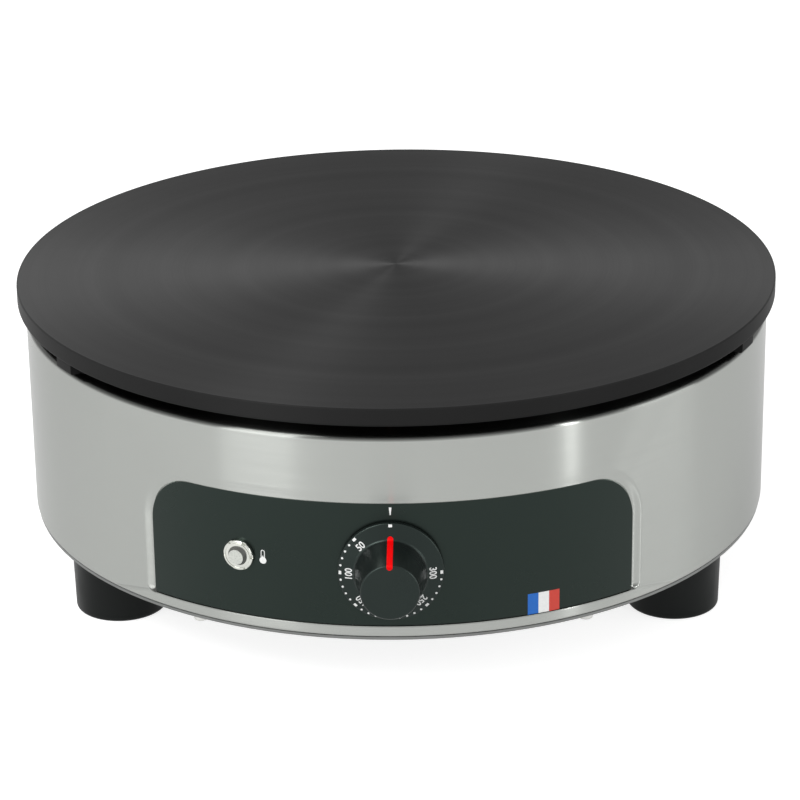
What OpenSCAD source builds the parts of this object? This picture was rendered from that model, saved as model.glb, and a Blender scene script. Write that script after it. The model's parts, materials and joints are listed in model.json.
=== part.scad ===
// Electric crepe maker, countertop, one round cast-iron griddle on a drum-shaped body.
// Millimetres. The origin is on the axis of the drum, at the plane the feet stand on.
// +Z is up, and the control panel faces -Y. Angles are taken from the front, positive towards +X.

/* [Griddle plate] */
// Diameter of the cooking plate
plate_d = 400; // [340:1:480]
// Thickness of the plate at its edge
plate_edge_t = 10; // [8:0.5:14]
// Thickness of the plate over the heating element
plate_core_t = 13; // [12:0.5:18]
// Width of the thinner band round the core
plate_band_w = 22; // [12:1:26]
// Chamfer round the plate's edge
plate_chamfer = 0.8; // [0.3:0.1:1.5]
// Open gap between the plate's edge and the rim of the body
plate_gap = 6.8; // [6:0.2:14]
// Width of the three lugs that stand on the drum's upper flange
lug_w = 14.5; // [10:0.5:24]
// Turn of the lugs round the plate, from the feet
lug_turn = 4.3; // [0:0.1:10]
// How far a lug's outer end is lifted off that flange
lug_lift = 1; // [1:0.2:4]
// Iron left round and above a tie rod in its boss
boss_wall = 4.5; // [3.5:0.5:5]

/* [Body shell] */
// How far the plate's edge stands out past the drum's face
plate_overhang = 4.2; // [3:0.1:8]
// Height of the drum, from the base plate to the top of its rim
body_h = 106.2; // [95:0.2:125]
// Thickness of the stainless sheet
sheet_t = 1; // [0.8:0.1:1.5]
// Outer radius of the drum's rounded upper edge
rim_r = 2.8; // [2.5:0.1:5]
// Width of the flange turned in under the plate
rim_flange_w = 20; // [16:0.5:22]
// Depth of the lip turned down along that flange's inner edge
rim_lip = 4; // [3:0.5:8]
// Width of the flange turned in at the foot of the drum
flange_w = 8.5; // [8:0.5:11]

/* [Base and feet] */
// Thickness of the base plate
base_t = 1.5; // [1:0.1:2.5]
// How far the base plate's edge stays inside the drum's face
base_inset = 0.6; // [0.3:0.1:2]
// Height of a foot
foot_h = 33.5; // [25:0.5:45]
// Diameter of a foot at its top
foot_top_d = 49; // [46:0.5:52]
// Diameter of a foot near its bottom
foot_bottom_d = 47.6; // [42:0.2:52]
// Rounding of a foot's bottom edge
foot_edge_r = 2.2; // [1:0.2:4]
// Distance of a foot's axis from the drum's face
foot_inset = 29.4; // [28:0.2:34]
// Number of screws round the base plate
base_screw_count = 6; // [6:6:12]
// Length of a vent slot in the base plate
vent_slot_l = 62; // [40:1:80]
// Width of a vent slot
vent_slot_w = 5; // [3:0.5:7]
// Number of vent slots in the row
vent_slot_count = 7; // [3:2:9]
// Distance between vent slots
vent_pitch = 13; // [10:0.5:15]

/* [Tie rods] */
// Diameter of the tie rods between the plate and the feet
rod_d = 8; // [6:0.5:9]
// How far a tie rod reaches down into a foot
rod_reach = 17; // [12:1:20]

/* [Control panel] */
// Width of the panel, measured along its curve
panel_w = 256; // [230:1:270]
// Height of the panel
panel_h = 65.6; // [60:0.2:72]
// Thickness of the panel
panel_t = 1; // [0.6:0.1:1.2]
// Height of the panel's lower edge above the foot of the drum
panel_rise = 6.1; // [5:0.1:12]
// Radius of the panel's upper corners
panel_top_r = 23; // [12:0.5:28]
// Radius of the panel's lower corners
panel_bottom_r = 3; // [2:0.2:5]
// Depth of the pressed recess that holds the panel
recess_depth = 1.5; // [1.3:0.1:2.5]
// Width of bare steel between the panel and the recess's wall
recess_border = 4.2; // [2:0.2:6]

/* [Thermostat knob] */
// Diameter of the knob's skirt
skirt_d = 51.6; // [48:0.2:56]
// Thickness of the skirt at its edge
skirt_edge_t = 2.2; // [1.6:0.1:3]
// Thickness of the skirt where it meets the grip
skirt_root_t = 4.2; // [3.5:0.1:5]
// Diameter of the grip where it leaves the skirt
grip_d = 31.2; // [28:0.2:33]
// Diameter of the grip at its front
grip_front_d = 29; // [26:0.2:31]
// Length of the whole knob
knob_l = 25.8; // [22:0.2:34]
// Rounding of the grip's front edge
grip_edge_r = 1.8; // [1:0.1:3]
// Radius of the fillet between skirt and grip
flare_r = 3; // [1.5:0.1:4]
// Gap between the knob and the panel
knob_gap = 0.5; // [0.4:0.1:1.5]
// Height of the knob's axis above the foot of the drum
knob_rise = 36.5; // [34:0.5:40]
// Width of the pointer let into the knob
pointer_w = 2.9; // [2:0.1:4]
// Radius on the skirt where the pointer starts
pointer_start = 19.7; // [18.5:0.1:21]
// Radius on the front face where the pointer ends
pointer_end = 12.4; // [8:0.1:13]
// How far the pointer stands proud of the knob
pointer_proud = 0.3; // [0.1:0.1:0.6]
// Depth of the pointer's slot in the knob
pointer_depth = 1; // [0.6:0.1:1.4]

/* [Thermostat] */
// Diameter of the spindle
spindle_d = 6; // [5:0.1:7]
// Thickness across the spindle's flat
spindle_flat = 4.6; // [4:0.1:4.9]
// Width of the thermostat's case
case_w = 44; // [38:1:46]
// Depth of the thermostat's case
case_l = 32; // [26:1:40]
// Height of the thermostat's case
case_h = 35; // [30:1:40]
// Width of the bracket that holds the thermostat
bracket_w = 50; // [48:1:54]
// Thickness of the bracket
bracket_t = 1.5; // [1:0.1:2.5]
// Depth of the bracket's foot
bracket_foot = 18; // [14:1:22]
// Diameter of the sensing bulb
bulb_d = 6.2; // [5:0.1:8]
// Length of the sensing bulb
bulb_l = 66; // [50:1:72]
// Diameter of the capillary tube
capillary_d = 2; // [1.6:0.1:2.6]
// Radius of the bends in the capillary tube
capillary_bend = 6; // [5:0.5:7]

/* [Indicator lamp] */
// Angle of the lamp from the middle of the panel
lamp_angle = -22.3; // [-26:0.1:-18]
// Height of the lamp above the foot of the drum
lamp_rise = 38.5; // [32:0.5:44]
// Diameter of the lamp's bezel
bezel_d = 15.8; // [14:0.2:20]
// How far the bezel stands out from the panel
bezel_t = 2.2; // [1.5:0.1:3]
// Diameter of the lamp's threaded barrel
barrel_d = 12; // [11:0.2:13]
// Length of the barrel behind the bezel
barrel_l = 20; // [16:1:26]
// Diameter of the lens where it leaves the bezel
lens_d = 10; // [8:0.1:10.2]
// Diameter of the lens's front face
lens_face_d = 7.8; // [5:0.1:7.9]
// How far the lens stands out from the bezel
lens_proud = 2.2; // [1:0.1:4]
// Number of spanner notches round the bezel
notch_count = 6; // [2:1:8]
// Thickness of the lamp's nut
lamp_nut_t = 3.5; // [2.5:0.5:5]

/* [Heating element] */
// Diameter of the element's sheath
sheath_d = 8.5; // [6.5:0.1:10]
// Number of branches of the star
branches = 8; // [6:2:8]
// Gap between the star's outer bends and the heat shield
element_gap = 7; // [5:0.5:14]
// Radius at which the straight runs start
run_inner = 62; // [56:1:70]
// Radius of the bends that lead the ends down
end_bend = 11; // [10:0.5:14]
// Thickness of the clamp plate
clamp_t = 2; // [1.5:0.1:3]
// How far the clamp's centre disc reaches past the start of the straight runs
clamp_cover = 6; // [3:1:12]
// Distance of the clamp's ring from the end of the straight runs
clamp_inset = 12; // [10:1:20]
// Width of the clamp's ring and arms
clamp_arm_w = 18; // [12:1:24]
// Diameter of the stud in the middle
stud_d = 10; // [8:0.5:12]
// Thickness of the insulation pad
pad_t = 18; // [12:1:24]
// Thickness of the heat shield's sheet
shield_t = 1.2; // [0.8:0.1:2]
// Gap between the heat shield and the tie rods
shield_gap = 6; // [4:0.5:8]

/* [Cable gland] */
// Height of the gland above the foot of the drum
gland_rise = 27; // [22:1:40]
// Diameter of the gland's thread
gland_d = 16; // [14:0.5:20]
// Width across the flats of the gland
gland_af = 22; // [20:0.5:26]
// Thickness of the gland's hexagon
gland_hex_t = 6; // [4:0.5:8]
// Bore of the gland, for the supply cord
gland_bore = 9.2; // [7:0.2:10]
// Thickness of the gland's lock nut
gland_nut_t = 5; // [4:0.5:7]

/* [Wiring] */
// Outer diameter of an internal wire
wire_d = 2.6; // [2:0.1:3]
// Length of the terminal block
block_l = 52; // [48:1:60]
// Width of the terminal block
block_w = 22; // [18:1:26]
// Height of the terminal block
block_h = 20; // [17:1:24]

/* [Hidden] */
$fn = 96;
seat = 0.05;               // gap between pieces that are seated on each other
seat_wide = 0.2;           // gap where a flat face sits on a rounded one
fit_gap = 0.05;            // radial running fit of the spindle in its bearing
loose_gap = 0.4;           // radial clearance of a screw or rod in a sheet's hole
corner_ease = 0.05;        // how much the cutter of a corner is larger than the corner's radius
eps = 0.01;

// Levels, from the table up
base_z = foot_h;
shell_z = base_z + base_t;
rim_z = shell_z + body_h;
plate_z = rim_z + plate_gap;
top_z = plate_z + plate_edge_t;
core_z = top_z - plate_core_t;
lug_z = rim_z + seat_wide;

// Radii
plate_r = plate_d / 2;
core_r = plate_r - plate_band_w;
body_r = plate_r - plate_overhang;
inner_r = body_r - sheet_t;
support_r = body_r - foot_inset;
rod_r = rod_d / 2;
support_angles = [-60, 60, 180];
lug_edge = 1.2;            // chamfer along a lug's outer edge
rim_bend_r = sheet_t + 1;  // outer radius of the bend between the rim's flange and its lip

// Control panel, recess and knob
floor_r = body_r - recess_depth;
floor_in_r = floor_r - sheet_t;
panel_in_r = floor_r + seat;
panel_out_r = panel_in_r + panel_t;
panel_z0 = shell_z + panel_rise;
panel_z1 = panel_z0 + panel_h;
knob_z = shell_z + knob_rise;
knob_back_y = panel_out_r + knob_gap;
knob_front_y = knob_back_y + knob_l;
hub_bore_l = 14;           // depth of the knob's bore
hub_r = 6.5;               // radius of the knob's hub
hollow_r = 12.5;           // outer radius of the hollow behind the grip
hollow_l = knob_l - 6;     // depth of that hollow
spindle_r = spindle_d / 2;

// Thermostat behind the panel
bracket_y = body_r - flange_w - 5.3;
bracket_h = knob_rise + case_h / 2 + 6;
case_y = bracket_y - bracket_t - seat;
case_top_z = knob_z + case_h / 2;
bearing_l = 12;            // how deep the spindle runs in the thermostat
spindle_hole_r = spindle_r + 2;
fixing_pitch = 28;         // between the thermostat's two screws
fixing_r = 2;
blade_w = 6.3;
blade_t = 0.8;
blade_l = 10;
blade_pitch = 13;
blade_z = knob_z - 8;

// Heating element, clamp, insulation and shield
half_step = 90 / branches;
sheath_r = sheath_d / 2;
element_z = core_z - sheath_r - 2 * seat;
shield_r = support_r - rod_r - shield_gap;
run_outer = (shield_r - shield_t - element_gap - sheath_r) / (1 / cos(half_step) + tan(half_step));
outer_bend = run_outer * tan(half_step);
inner_bend = run_inner * tan(half_step);
end_r = run_inner - end_bend;
clamp_ring_r = run_outer - clamp_inset;
clamp_z = element_z - sheath_r - 2 * seat - clamp_t;
pad_z = clamp_z - 2 * seat - pad_t;
shield_z = pad_z - seat - shield_t;
shield_top = core_z - 2;
end_z = shield_z - 10;
stud_r = stud_d / 2;
stud_nut_t = 0.8 * stud_d;
stud_nut_af = 1.7 * stud_d;
washer_t = 2;
stud_z = shield_z - washer_t - stud_nut_t - 4;
bead_r = 5.2;
bead_l = 7;
pin_r = 2;
pin_l = 12;
bulb_z = core_z - bulb_d / 2 - 2 * seat;
bulb_end = shield_r - shield_t - 4;

// Lamp
lamp_z = shell_z + lamp_rise;
barrel_r = barrel_d / 2;
bezel_back = panel_out_r + seat_wide;
lamp_nut_af = barrel_d + 3;
lamp_nut_rc = lamp_nut_af / 2 / cos(30);
lamp_nut_face = sqrt(pow(floor_in_r, 2) - pow(lamp_nut_rc, 2)) - seat;
lamp_body_l = 14;
bezel_edge_r = 0.8;        // rounding of the bezel's outer edge
groove_t = 0.4;            // width and depth of the groove in the bezel's face
notch_w = 2;
notch_depth = 0.9;
notch_turn = 2;            // of the notches, from level
lamp_blade_gap = 6.4;

// Cable gland
gland_z = shell_z + gland_rise;
gland_r = gland_d / 2;
gland_back = body_r + seat_wide;
gland_cap_l = knob_front_y + pointer_proud - gland_back - gland_hex_t;
gland_nut_rc = gland_af / 2 / cos(30);
gland_body_bore = gland_bore + 1.2;  // the body is bored wider than the seal, which grips the cord
gland_nut_face = sqrt(pow(inner_r, 2) - pow(gland_nut_rc, 2)) - seat;

// Terminal block and earth stud on the base plate
block_x = 70;
block_y = 100;
block_pitch = 17;
clamp_hole_r = 3.2;
clamp_mid_z = shell_z + block_h / 2;
earth_x = -60;
earth_y = 112;
earth_r = 2.5;
earth_h = 20;

// Ends of the wires
wire_end_gap = 0.4;        // between a wire's end and the blade or pin it is crimped to
blade_end_y = -(case_y - case_l - blade_l) + wire_end_gap;
lamp_blade_l = 8;
lamp_wire_r = bezel_back - barrel_l - seat - lamp_body_l - lamp_blade_l - wire_end_gap;

// Fasteners
m4_r = 2;
m4_head_r = 3.6;
m4_head_h = 2.6;
screw_r_pos = inner_r - flange_w / 2 + sheet_t / 2;
insert_r = rod_r + 2.5;
insert_flange_r = rod_r + 8;
insert_flange_t = 2;
insert_z = foot_h - rod_reach - 6;

// ---------- Helpers ----------

// Turns the +X axis to an angle taken from the front
module toward(angle) {
    rotate([0, 0, angle - 90]) children();
}

// Stands the children's Z axis outwards, along the direction of an angle from the front
module facing(angle, z) {
    translate([0, 0, z]) toward(angle) rotate([0, 90, 0]) rotate([0, 0, 90]) children();
}

module at_supports() {
    for (angle = support_angles)
        toward(angle) translate([support_r, 0, 0]) children();
}

// Hexagonal nut with its lower face at z = 0
module hex_nut(af, t, hole_r) {
    difference() {
        cylinder(h = t, r = af / 2 / cos(30), $fn = 6);
        translate([0, 0, -1]) cylinder(h = t + 2, r = hole_r);
    }
}

// Round-headed screw: the head's flat face is at z = 0 and the shank runs up
module pan_screw(r, head_r, head_h, l) {
    cylinder(h = l, r = r);
    rotate([180, 0, 0]) rotate_extrude() {
        square([head_r, head_h - 1]);
        square([head_r - 1, head_h]);
        translate([head_r - 1, head_h - 1]) circle(r = 1);
    }
}

// Slice of a cylinder wall between two radii, with rounded corners as seen from outside.
// half_w is half its width along the curve at body_r.
module curved_plate(r0, r1, half_w, z0, z1, top_r, bottom_r) {
    half_a = half_w / body_r * 180 / PI;
    difference() {
        rotate([0, 0, -90 - half_a]) rotate_extrude(angle = 2 * half_a, $fn = 256)
            translate([r0, z0]) square([r1 - r0, z1 - z0]);
        for (side = [-1, 1]) {
            corner_cutter(side, half_w, z1, top_r, 1);
            corner_cutter(side, half_w, z0, bottom_r, -1);
        }
    }
}

function polar(angle, r, z) = [r * sin(angle), -r * cos(angle), z];

// Cuts one corner of a curved plate to a radius. side is -1 or 1, up is 1 for an upper corner.
// The round is a little larger than its corner, so that it crosses the straight edges cleanly.
module corner_cutter(side, half_w, z, r, up) {
    a = side * (half_w - r) / body_r * 180 / PI;
    facing(a, z - up * r) difference() {
        translate([side > 0 ? 0 : -2 * r, up > 0 ? 0 : -2 * r, 0])
            cube([2 * r, 2 * r, body_r + 10]);
        translate([0, 0, -1]) cylinder(h = body_r + 12, r = r + corner_ease);
    }
}

// Smooth run through hand-chosen points
function spline(p, i, t) =
    let (a = p[max(i - 1, 0)], b = p[i], c = p[i + 1], d = p[min(i + 2, len(p) - 1)])
    0.5 * ((2 * b) + (c - a) * t + (2 * a - 5 * b + 4 * c - d) * t * t
        + (3 * b - a - 3 * c + d) * t * t * t);
function unit(v) = v / norm(v);
function run_points(p, n) =
    [for (i = [0:len(p) - 2], k = [0:n - 1]) spline(p, i, k / n), p[len(p) - 1]];
function tangents(q) =
    [for (i = [0:len(q) - 1]) unit(q[min(i + 1, len(q) - 1)] - q[max(i - 1, 0)])];
function carried(n, t) = unit(n - (n * t) * t);
function normals(t) =
    let (first = abs(t[0][2]) > 0.9 ? [1, 0, 0] : [0, 0, 1])
    [for (i = 0, n = carried(first, t[0]); i < len(t);
        i = i + 1, n = i < len(t) ? carried(n, t[i]) : n) n];

// Tube along a list of closely spaced points
module tube(q, r, sides) {
    t = tangents(q);
    n = normals(t);
    rings = len(q);
    verts = [for (i = [0:rings - 1], k = [0:sides - 1])
        let (a = 360 * k / sides) q[i] + r * (cos(a) * n[i] + sin(a) * cross(t[i], n[i]))];
    walls = [for (i = [0:rings - 2], k = [0:sides - 1])
        let (a = i * sides + k, b = i * sides + (k + 1) % sides)
        each [[a, a + sides, b], [b, a + sides, b + sides]]];
    caps = [[for (k = [0:sides - 1]) k], [for (k = [sides - 1:-1:0]) (rings - 1) * sides + k]];
    polyhedron(points = verts, faces = concat(walls, caps));
}

module wire(points, steps = 4) {
    tube(run_points(points, steps), wire_d / 2, 8);
}

// ---------- Griddle plate and what heats it ----------

// Half section of the lugs: flat where they stand on the flange, lifted past its rounded edge
module lug_profile() {
    inner = body_r - rim_flange_w + rim_bend_r;
    step = body_r - rim_r;
    outer = plate_r - 1;
    raised = lug_z + lug_lift;
    polygon([[inner, lug_z], [step - lug_lift, lug_z], [step, raised], [outer - lug_edge, raised],
        [outer, raised + lug_edge], [outer, plate_z + 1], [inner, plate_z + 1]]);
}

module griddle_plate() {
    color([0.16, 0.16, 0.16]) difference() {
        union() {
            rotate_extrude($fn = 256) polygon([
                [0, core_z], [core_r, core_z], [core_r, plate_z], [plate_r - plate_chamfer, plate_z],
                [plate_r, plate_z + plate_chamfer], [plate_r, top_z - plate_chamfer],
                [plate_r - plate_chamfer, top_z], [0, top_z]]);
            for (angle = support_angles) intersection() {
                rotate_extrude($fn = 256) lug_profile();
                toward(angle + lug_turn) translate([0, -lug_w / 2, 0]) cube([plate_r, lug_w, top_z]);
            }
            at_supports() translate([0, 0, lug_z])
                cylinder(h = core_z + 1 - lug_z, r = rod_r + boss_wall);
        }
        at_supports() cylinder(h = top_z - boss_wall, r = rod_r + seat);
        cylinder(h = top_z - boss_wall, r = stud_r + seat);
    }
}

// Points of an arc whose centre lies at a distance out along an angle from the front
function star_arc(angle, out, r, from, sweep, n) =
    [for (i = [0:n]) let (a = from + sweep * i / n, x = out + r * cos(a), y = r * sin(a))
        [x * sin(angle) + y * cos(angle), y * sin(angle) - x * cos(angle), element_z]];

// Bend from a vertical end up into its straight run. a goes from 180 to 90 degrees.
function end_arc(angle) =
    [for (a = [180:-18:90]) polar(angle, run_inner + end_bend * cos(a),
        element_z - end_bend + end_bend * sin(a))];

function reversed(p) = [for (i = [len(p) - 1:-1:0]) p[i]];

// One sheathed tube bent into a star: straight runs joined by bends, both ends led down at the back
function star_points() =
    let (rear = branches / 2, h = half_step)
    concat(
        [polar(180 + h, end_r, end_z)], end_arc(180 + h),
        [for (i = [0:branches - 1]) let (j = rear + i) each concat(
            star_arc((4 * j + 2) * h, run_outer / cos(h), outer_bend, -90 - h, 180 + 2 * h, 10),
            i < branches - 1
                ? star_arc((4 * j + 4) * h, run_inner / cos(h), inner_bend, 270 - h, 2 * h - 180, 7)
                : [])],
        reversed(end_arc(180 - h)), [polar(180 - h, end_r, end_z)]);

module heating_element() {
    color([0.45, 0.42, 0.38]) tube(star_points(), sheath_r, 10);
}

module at_element_ends() {
    for (side = [-1, 1]) toward(180 + side * half_step) translate([end_r, 0, 0]) children();
}

module element_terminals() {
    color([0.85, 0.83, 0.78]) at_element_ends() translate([0, 0, end_z - seat]) {
        translate([0, 0, -bead_l]) cylinder(h = bead_l, r = bead_r);
        translate([0, 0, -bead_l - pin_l]) cylinder(h = pin_l + 1, r = pin_r);
    }
}

// Slots that let the element's bent ends pass down
module end_slots(h) {
    half = sheath_r + 1;
    at_element_ends() {
        cylinder(h = h, r = half);
        translate([0, -half, 0]) cube([end_bend, 2 * half, h]);
    }
}

module element_clamp() {
    color([0.6, 0.6, 0.58]) translate([0, 0, clamp_z]) difference() {
        union() {
            cylinder(h = clamp_t, r = run_inner + clamp_cover);
            difference() {
                cylinder(h = clamp_t, r = clamp_ring_r + clamp_arm_w / 2);
                translate([0, 0, -1]) cylinder(h = clamp_t + 2, r = clamp_ring_r - clamp_arm_w / 2);
            }
            for (j = [0:branches - 1]) toward((4 * j + 2) * half_step)
                translate([0, -clamp_arm_w / 2, 0]) cube([clamp_ring_r, clamp_arm_w, clamp_t]);
        }
        translate([0, 0, -1]) cylinder(h = clamp_t + 2, r = stud_r + loose_gap);
        translate([0, 0, -1]) end_slots(clamp_t + 2);
    }
}

module clamp_stud() {
    color([0.7, 0.7, 0.7]) translate([0, 0, stud_z])
        cylinder(h = top_z - boss_wall - 0.5 - stud_z, r = stud_r);
}

module clamp_nuts() {
    color([0.75, 0.75, 0.72]) {
        translate([0, 0, clamp_z - seat - stud_nut_t]) hex_nut(stud_nut_af, stud_nut_t, stud_r + seat);
        translate([0, 0, shield_z - washer_t - 2 * seat - stud_nut_t])
            hex_nut(stud_nut_af, stud_nut_t, stud_r + seat);
    }
}

module shield_washer() {
    color([0.75, 0.75, 0.72]) translate([0, 0, shield_z - seat - washer_t]) difference() {
        cylinder(h = washer_t, r = 2 * stud_d);
        translate([0, 0, -1]) cylinder(h = washer_t + 2, r = stud_r + loose_gap);
    }
}

module insulation_pad() {
    color([0.93, 0.92, 0.88]) translate([0, 0, pad_z]) difference() {
        cylinder(h = pad_t, r = shield_r - shield_t - 0.5, $fn = 256);
        translate([0, 0, -1]) cylinder(h = pad_t + 2, r = stud_nut_af / 2 / cos(30) + 1.5);
        translate([0, 0, -1]) end_slots(pad_t + 2);
    }
}

module heat_shield() {
    notch_w = capillary_d + 2;
    color([0.3, 0.3, 0.3]) difference() {
        rotate_extrude($fn = 256) {
            translate([0, shield_z]) square([shield_r, shield_t]);
            translate([shield_r - shield_t, shield_z])
                square([shield_t, shield_top - shield_z]);
        }
        translate([0, 0, shield_z - 1]) cylinder(h = shield_t + 2, r = stud_r + loose_gap);
        translate([0, 0, shield_z - 1]) at_element_ends()
            cylinder(h = shield_t + 2, r = sheath_r + 1);
        toward(0) translate([shield_r - 5, -notch_w / 2, bulb_z - notch_w / 2])
            cube([10, notch_w, shield_top]);
    }
}

// ---------- Body ----------

// Quarter round of sheet about a corner's centre, turned to one of the four quarters
module sheet_bend(r, turn) {
    rotate(turn) intersection() {
        difference() {
            circle(r = r);
            circle(r = r - sheet_t);
        }
        square(r);
    }
}

module drum_wall() {
    rotate_extrude($fn = 256) {
        translate([body_r - flange_w, 0]) square([flange_w, sheet_t]);
        translate([inner_r, 0]) square([sheet_t, body_h - rim_r]);
        translate([body_r - rim_r, body_h - rim_r]) sheet_bend(rim_r, 0);
    }
}

module recess_plate(r0, r1, grow) {
    curved_plate(r0, r1, panel_w / 2 + recess_border + grow, panel_z0 - 0.3 - grow,
        panel_z1 + recess_border + grow, panel_top_r + recess_border + grow,
        panel_bottom_r + recess_border / 2 + grow);
}

module at_base_screws() {
    for (i = [0:base_screw_count - 1]) toward((i + 0.5) * 360 / base_screw_count)
        translate([screw_r_pos, 0, 0]) children();
}

module body_shell() {
    color([0.74, 0.75, 0.73]) difference() {
        union() {
            translate([0, 0, shell_z]) drum_wall();
            recess_plate(floor_in_r, inner_r + sheet_t / 2, sheet_t);
        }
        recess_plate(floor_r, body_r + 5, 0);
        facing(0, knob_z) cylinder(h = body_r + 5, r = spindle_hole_r + 1);
        facing(lamp_angle, lamp_z) cylinder(h = body_r + 5, r = barrel_r + 0.1);
        facing(180, gland_z) cylinder(h = body_r + 5, r = gland_r + 0.1);
        translate([0, 0, shell_z - 1]) at_base_screws() cylinder(h = sheet_t + 2, r = m4_r + seat);
    }
}

// Wide flange that carries the plate's lugs, welded to the drum's rounded edge, with a lip inside
module rim_flange() {
    lip_r = body_r - rim_flange_w;
    color([0.74, 0.75, 0.73]) rotate_extrude($fn = 256) {
        translate([lip_r + rim_bend_r, rim_z - sheet_t])
            square([rim_flange_w - rim_bend_r - rim_r - seat, sheet_t]);
        translate([lip_r + rim_bend_r, rim_z - rim_bend_r]) sheet_bend(rim_bend_r, 90);
        translate([lip_r, rim_z - rim_lip]) square([sheet_t, rim_lip - rim_bend_r]);
    }
}

module control_panel() {
    color([0.17, 0.19, 0.19]) difference() {
        curved_plate(panel_in_r, panel_out_r, panel_w / 2, panel_z0, panel_z1, panel_top_r,
            panel_bottom_r);
        facing(0, knob_z) cylinder(h = body_r + 5, r = spindle_hole_r);
        facing(lamp_angle, lamp_z) cylinder(h = body_r + 5, r = barrel_r + 0.1);
    }
}

// ---------- Knob, turned by the user ----------

// Half section of the knob's outside: x is the radius and y the height above the panel side.
// grow moves the whole outline outwards along the grip and the skirt's face.
module knob_profile(grow) {
    top = knob_l + grow;
    edge = grip_edge_r + grow;
    front_r = grip_front_d / 2 + grow;
    root = skirt_root_t + grow;
    root_r = grip_d / 2 + grow;
    polygon([[0, 0], [skirt_d / 2, 0], [skirt_d / 2, skirt_edge_t + grow], [root_r + flare_r, root],
        [root_r, root + flare_r], [front_r, top - edge], [front_r - edge, top - edge], [0, top - edge]]);
    square([front_r - edge, top]);
    translate([front_r - edge, top - edge]) circle(r = edge);
    difference() {
        translate([root_r - 1, root - 0.5]) square([flare_r + 1, flare_r + 0.5]);
        translate([root_r + flare_r, root + flare_r]) circle(r = flare_r);
    }
}

module pointer_slab(grow) {
    w = pointer_w / 2 + grow;
    linear_extrude(knob_l + 5) {
        translate([-w, pointer_end + pointer_w / 2])
            square([2 * w, pointer_start - pointer_end - pointer_w]);
        translate([0, pointer_end + pointer_w / 2]) circle(r = w);
        translate([0, pointer_start - pointer_w / 2]) circle(r = w);
    }
}

module knob_place() {
    facing(0, knob_z) translate([0, 0, knob_back_y]) children();
}

module knob() {
    color([0.12, 0.13, 0.13]) knob_place() difference() {
        rotate_extrude() knob_profile(0);
        difference() {
            translate([0, 0, 1]) pointer_slab(seat / 2);
            rotate_extrude() knob_profile(-pointer_depth);
        }
        difference() {
            translate([0, 0, -1]) cylinder(h = hollow_l + 1, r = hollow_r);
            translate([0, 0, -2]) cylinder(h = hollow_l + 3, r = hub_r);
        }
        difference() {
            translate([0, 0, -1]) cylinder(h = hub_bore_l + 1, r = spindle_r + seat);
            translate([-spindle_r - 1, spindle_flat - spindle_r + seat, -2])
                cube([spindle_d + 2, spindle_d, hub_bore_l + 3]);
        }
    }
}

module knob_pointer() {
    color([0.85, 0.02, 0.03]) knob_place() difference() {
        intersection() {
            translate([0, 0, 1]) pointer_slab(0);
            rotate_extrude() knob_profile(pointer_proud);
        }
        rotate_extrude() knob_profile(seat - pointer_depth);
    }
}

module thermostat_spindle() {
    start = case_y - bearing_l + 0.5;
    end = knob_back_y + hub_bore_l - 0.5;
    color([0.75, 0.75, 0.73]) facing(0, knob_z) difference() {
        translate([0, 0, start]) cylinder(h = end - start, r = spindle_r);
        translate([-spindle_r - 1, spindle_flat - spindle_r, knob_back_y - 2])
            cube([spindle_d + 2, spindle_d, end]);
    }
}

// ---------- Thermostat ----------

module thermostat_case() {
    rim = 2;
    color([0.9, 0.88, 0.82]) difference() {
        facing(0, knob_z) {
            translate([-case_w / 2, -case_h / 2, case_y - case_l])
                cube([case_w, case_h, case_l - rim - 8]);
            translate([-case_w / 2 + rim, -case_h / 2 + rim, case_y - 12])
                cube([case_w - 2 * rim, case_h - 2 * rim, 12]);
        }
        facing(0, knob_z) {
            translate([0, 0, case_y - bearing_l]) cylinder(h = bearing_l + 1, r = spindle_r + fit_gap);
            for (side = [-1, 1]) translate([side * fixing_pitch / 2, 0, case_y - 8])
                cylinder(h = 9, r = fixing_r + seat);
        }
    }
}

module thermostat_blades() {
    color([0.8, 0.7, 0.45]) facing(0, blade_z) for (i = [-1:1])
        translate([i * blade_pitch - blade_w / 2, -blade_t / 2, case_y - case_l - blade_l - seat])
            cube([blade_w, blade_t, blade_l]);
}

module thermostat_screws() {
    color([0.8, 0.8, 0.78]) facing(0, knob_z) for (side = [-1, 1])
        translate([side * fixing_pitch / 2, 0, bracket_y + seat]) rotate([180, 0, 0])
            pan_screw(fixing_r, m4_head_r, m4_head_h, bracket_t + 6);
}

module thermostat_bracket() {
    foot_z = shell_z + seat;
    color([0.7, 0.7, 0.68]) difference() {
        union() {
            translate([-bracket_w / 2, -bracket_y, foot_z]) cube([bracket_w, bracket_t, bracket_h]);
            translate([-bracket_w / 2, -bracket_y, foot_z])
                cube([bracket_w, bracket_foot + bracket_t, bracket_t]);
        }
        facing(0, knob_z) {
            cylinder(h = bracket_y + 5, r = spindle_hole_r);
            for (side = [-1, 1]) translate([side * fixing_pitch / 2, 0, 0])
                cylinder(h = bracket_y + 5, r = fixing_r + loose_gap);
        }
        at_bracket_screws() cylinder(h = shell_z + 20, r = m4_r + seat);
    }
}

module at_bracket_screws() {
    for (side = [-1, 1])
        translate([side * bracket_w / 3, -bracket_y + bracket_t + bracket_foot / 2, 0]) children();
}

module bracket_screws() {
    color([0.8, 0.8, 0.78]) at_bracket_screws() translate([0, 0, base_z - seat])
        pan_screw(m4_r, m4_head_r, m4_head_h, base_t + bracket_t + 4);
}

module thermostat_bulb() {
    color([0.72, 0.5, 0.35]) facing(0, bulb_z) translate([0, 0, bulb_end - bulb_l])
        cylinder(h = bulb_l, r = bulb_d / 2);
}

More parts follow.
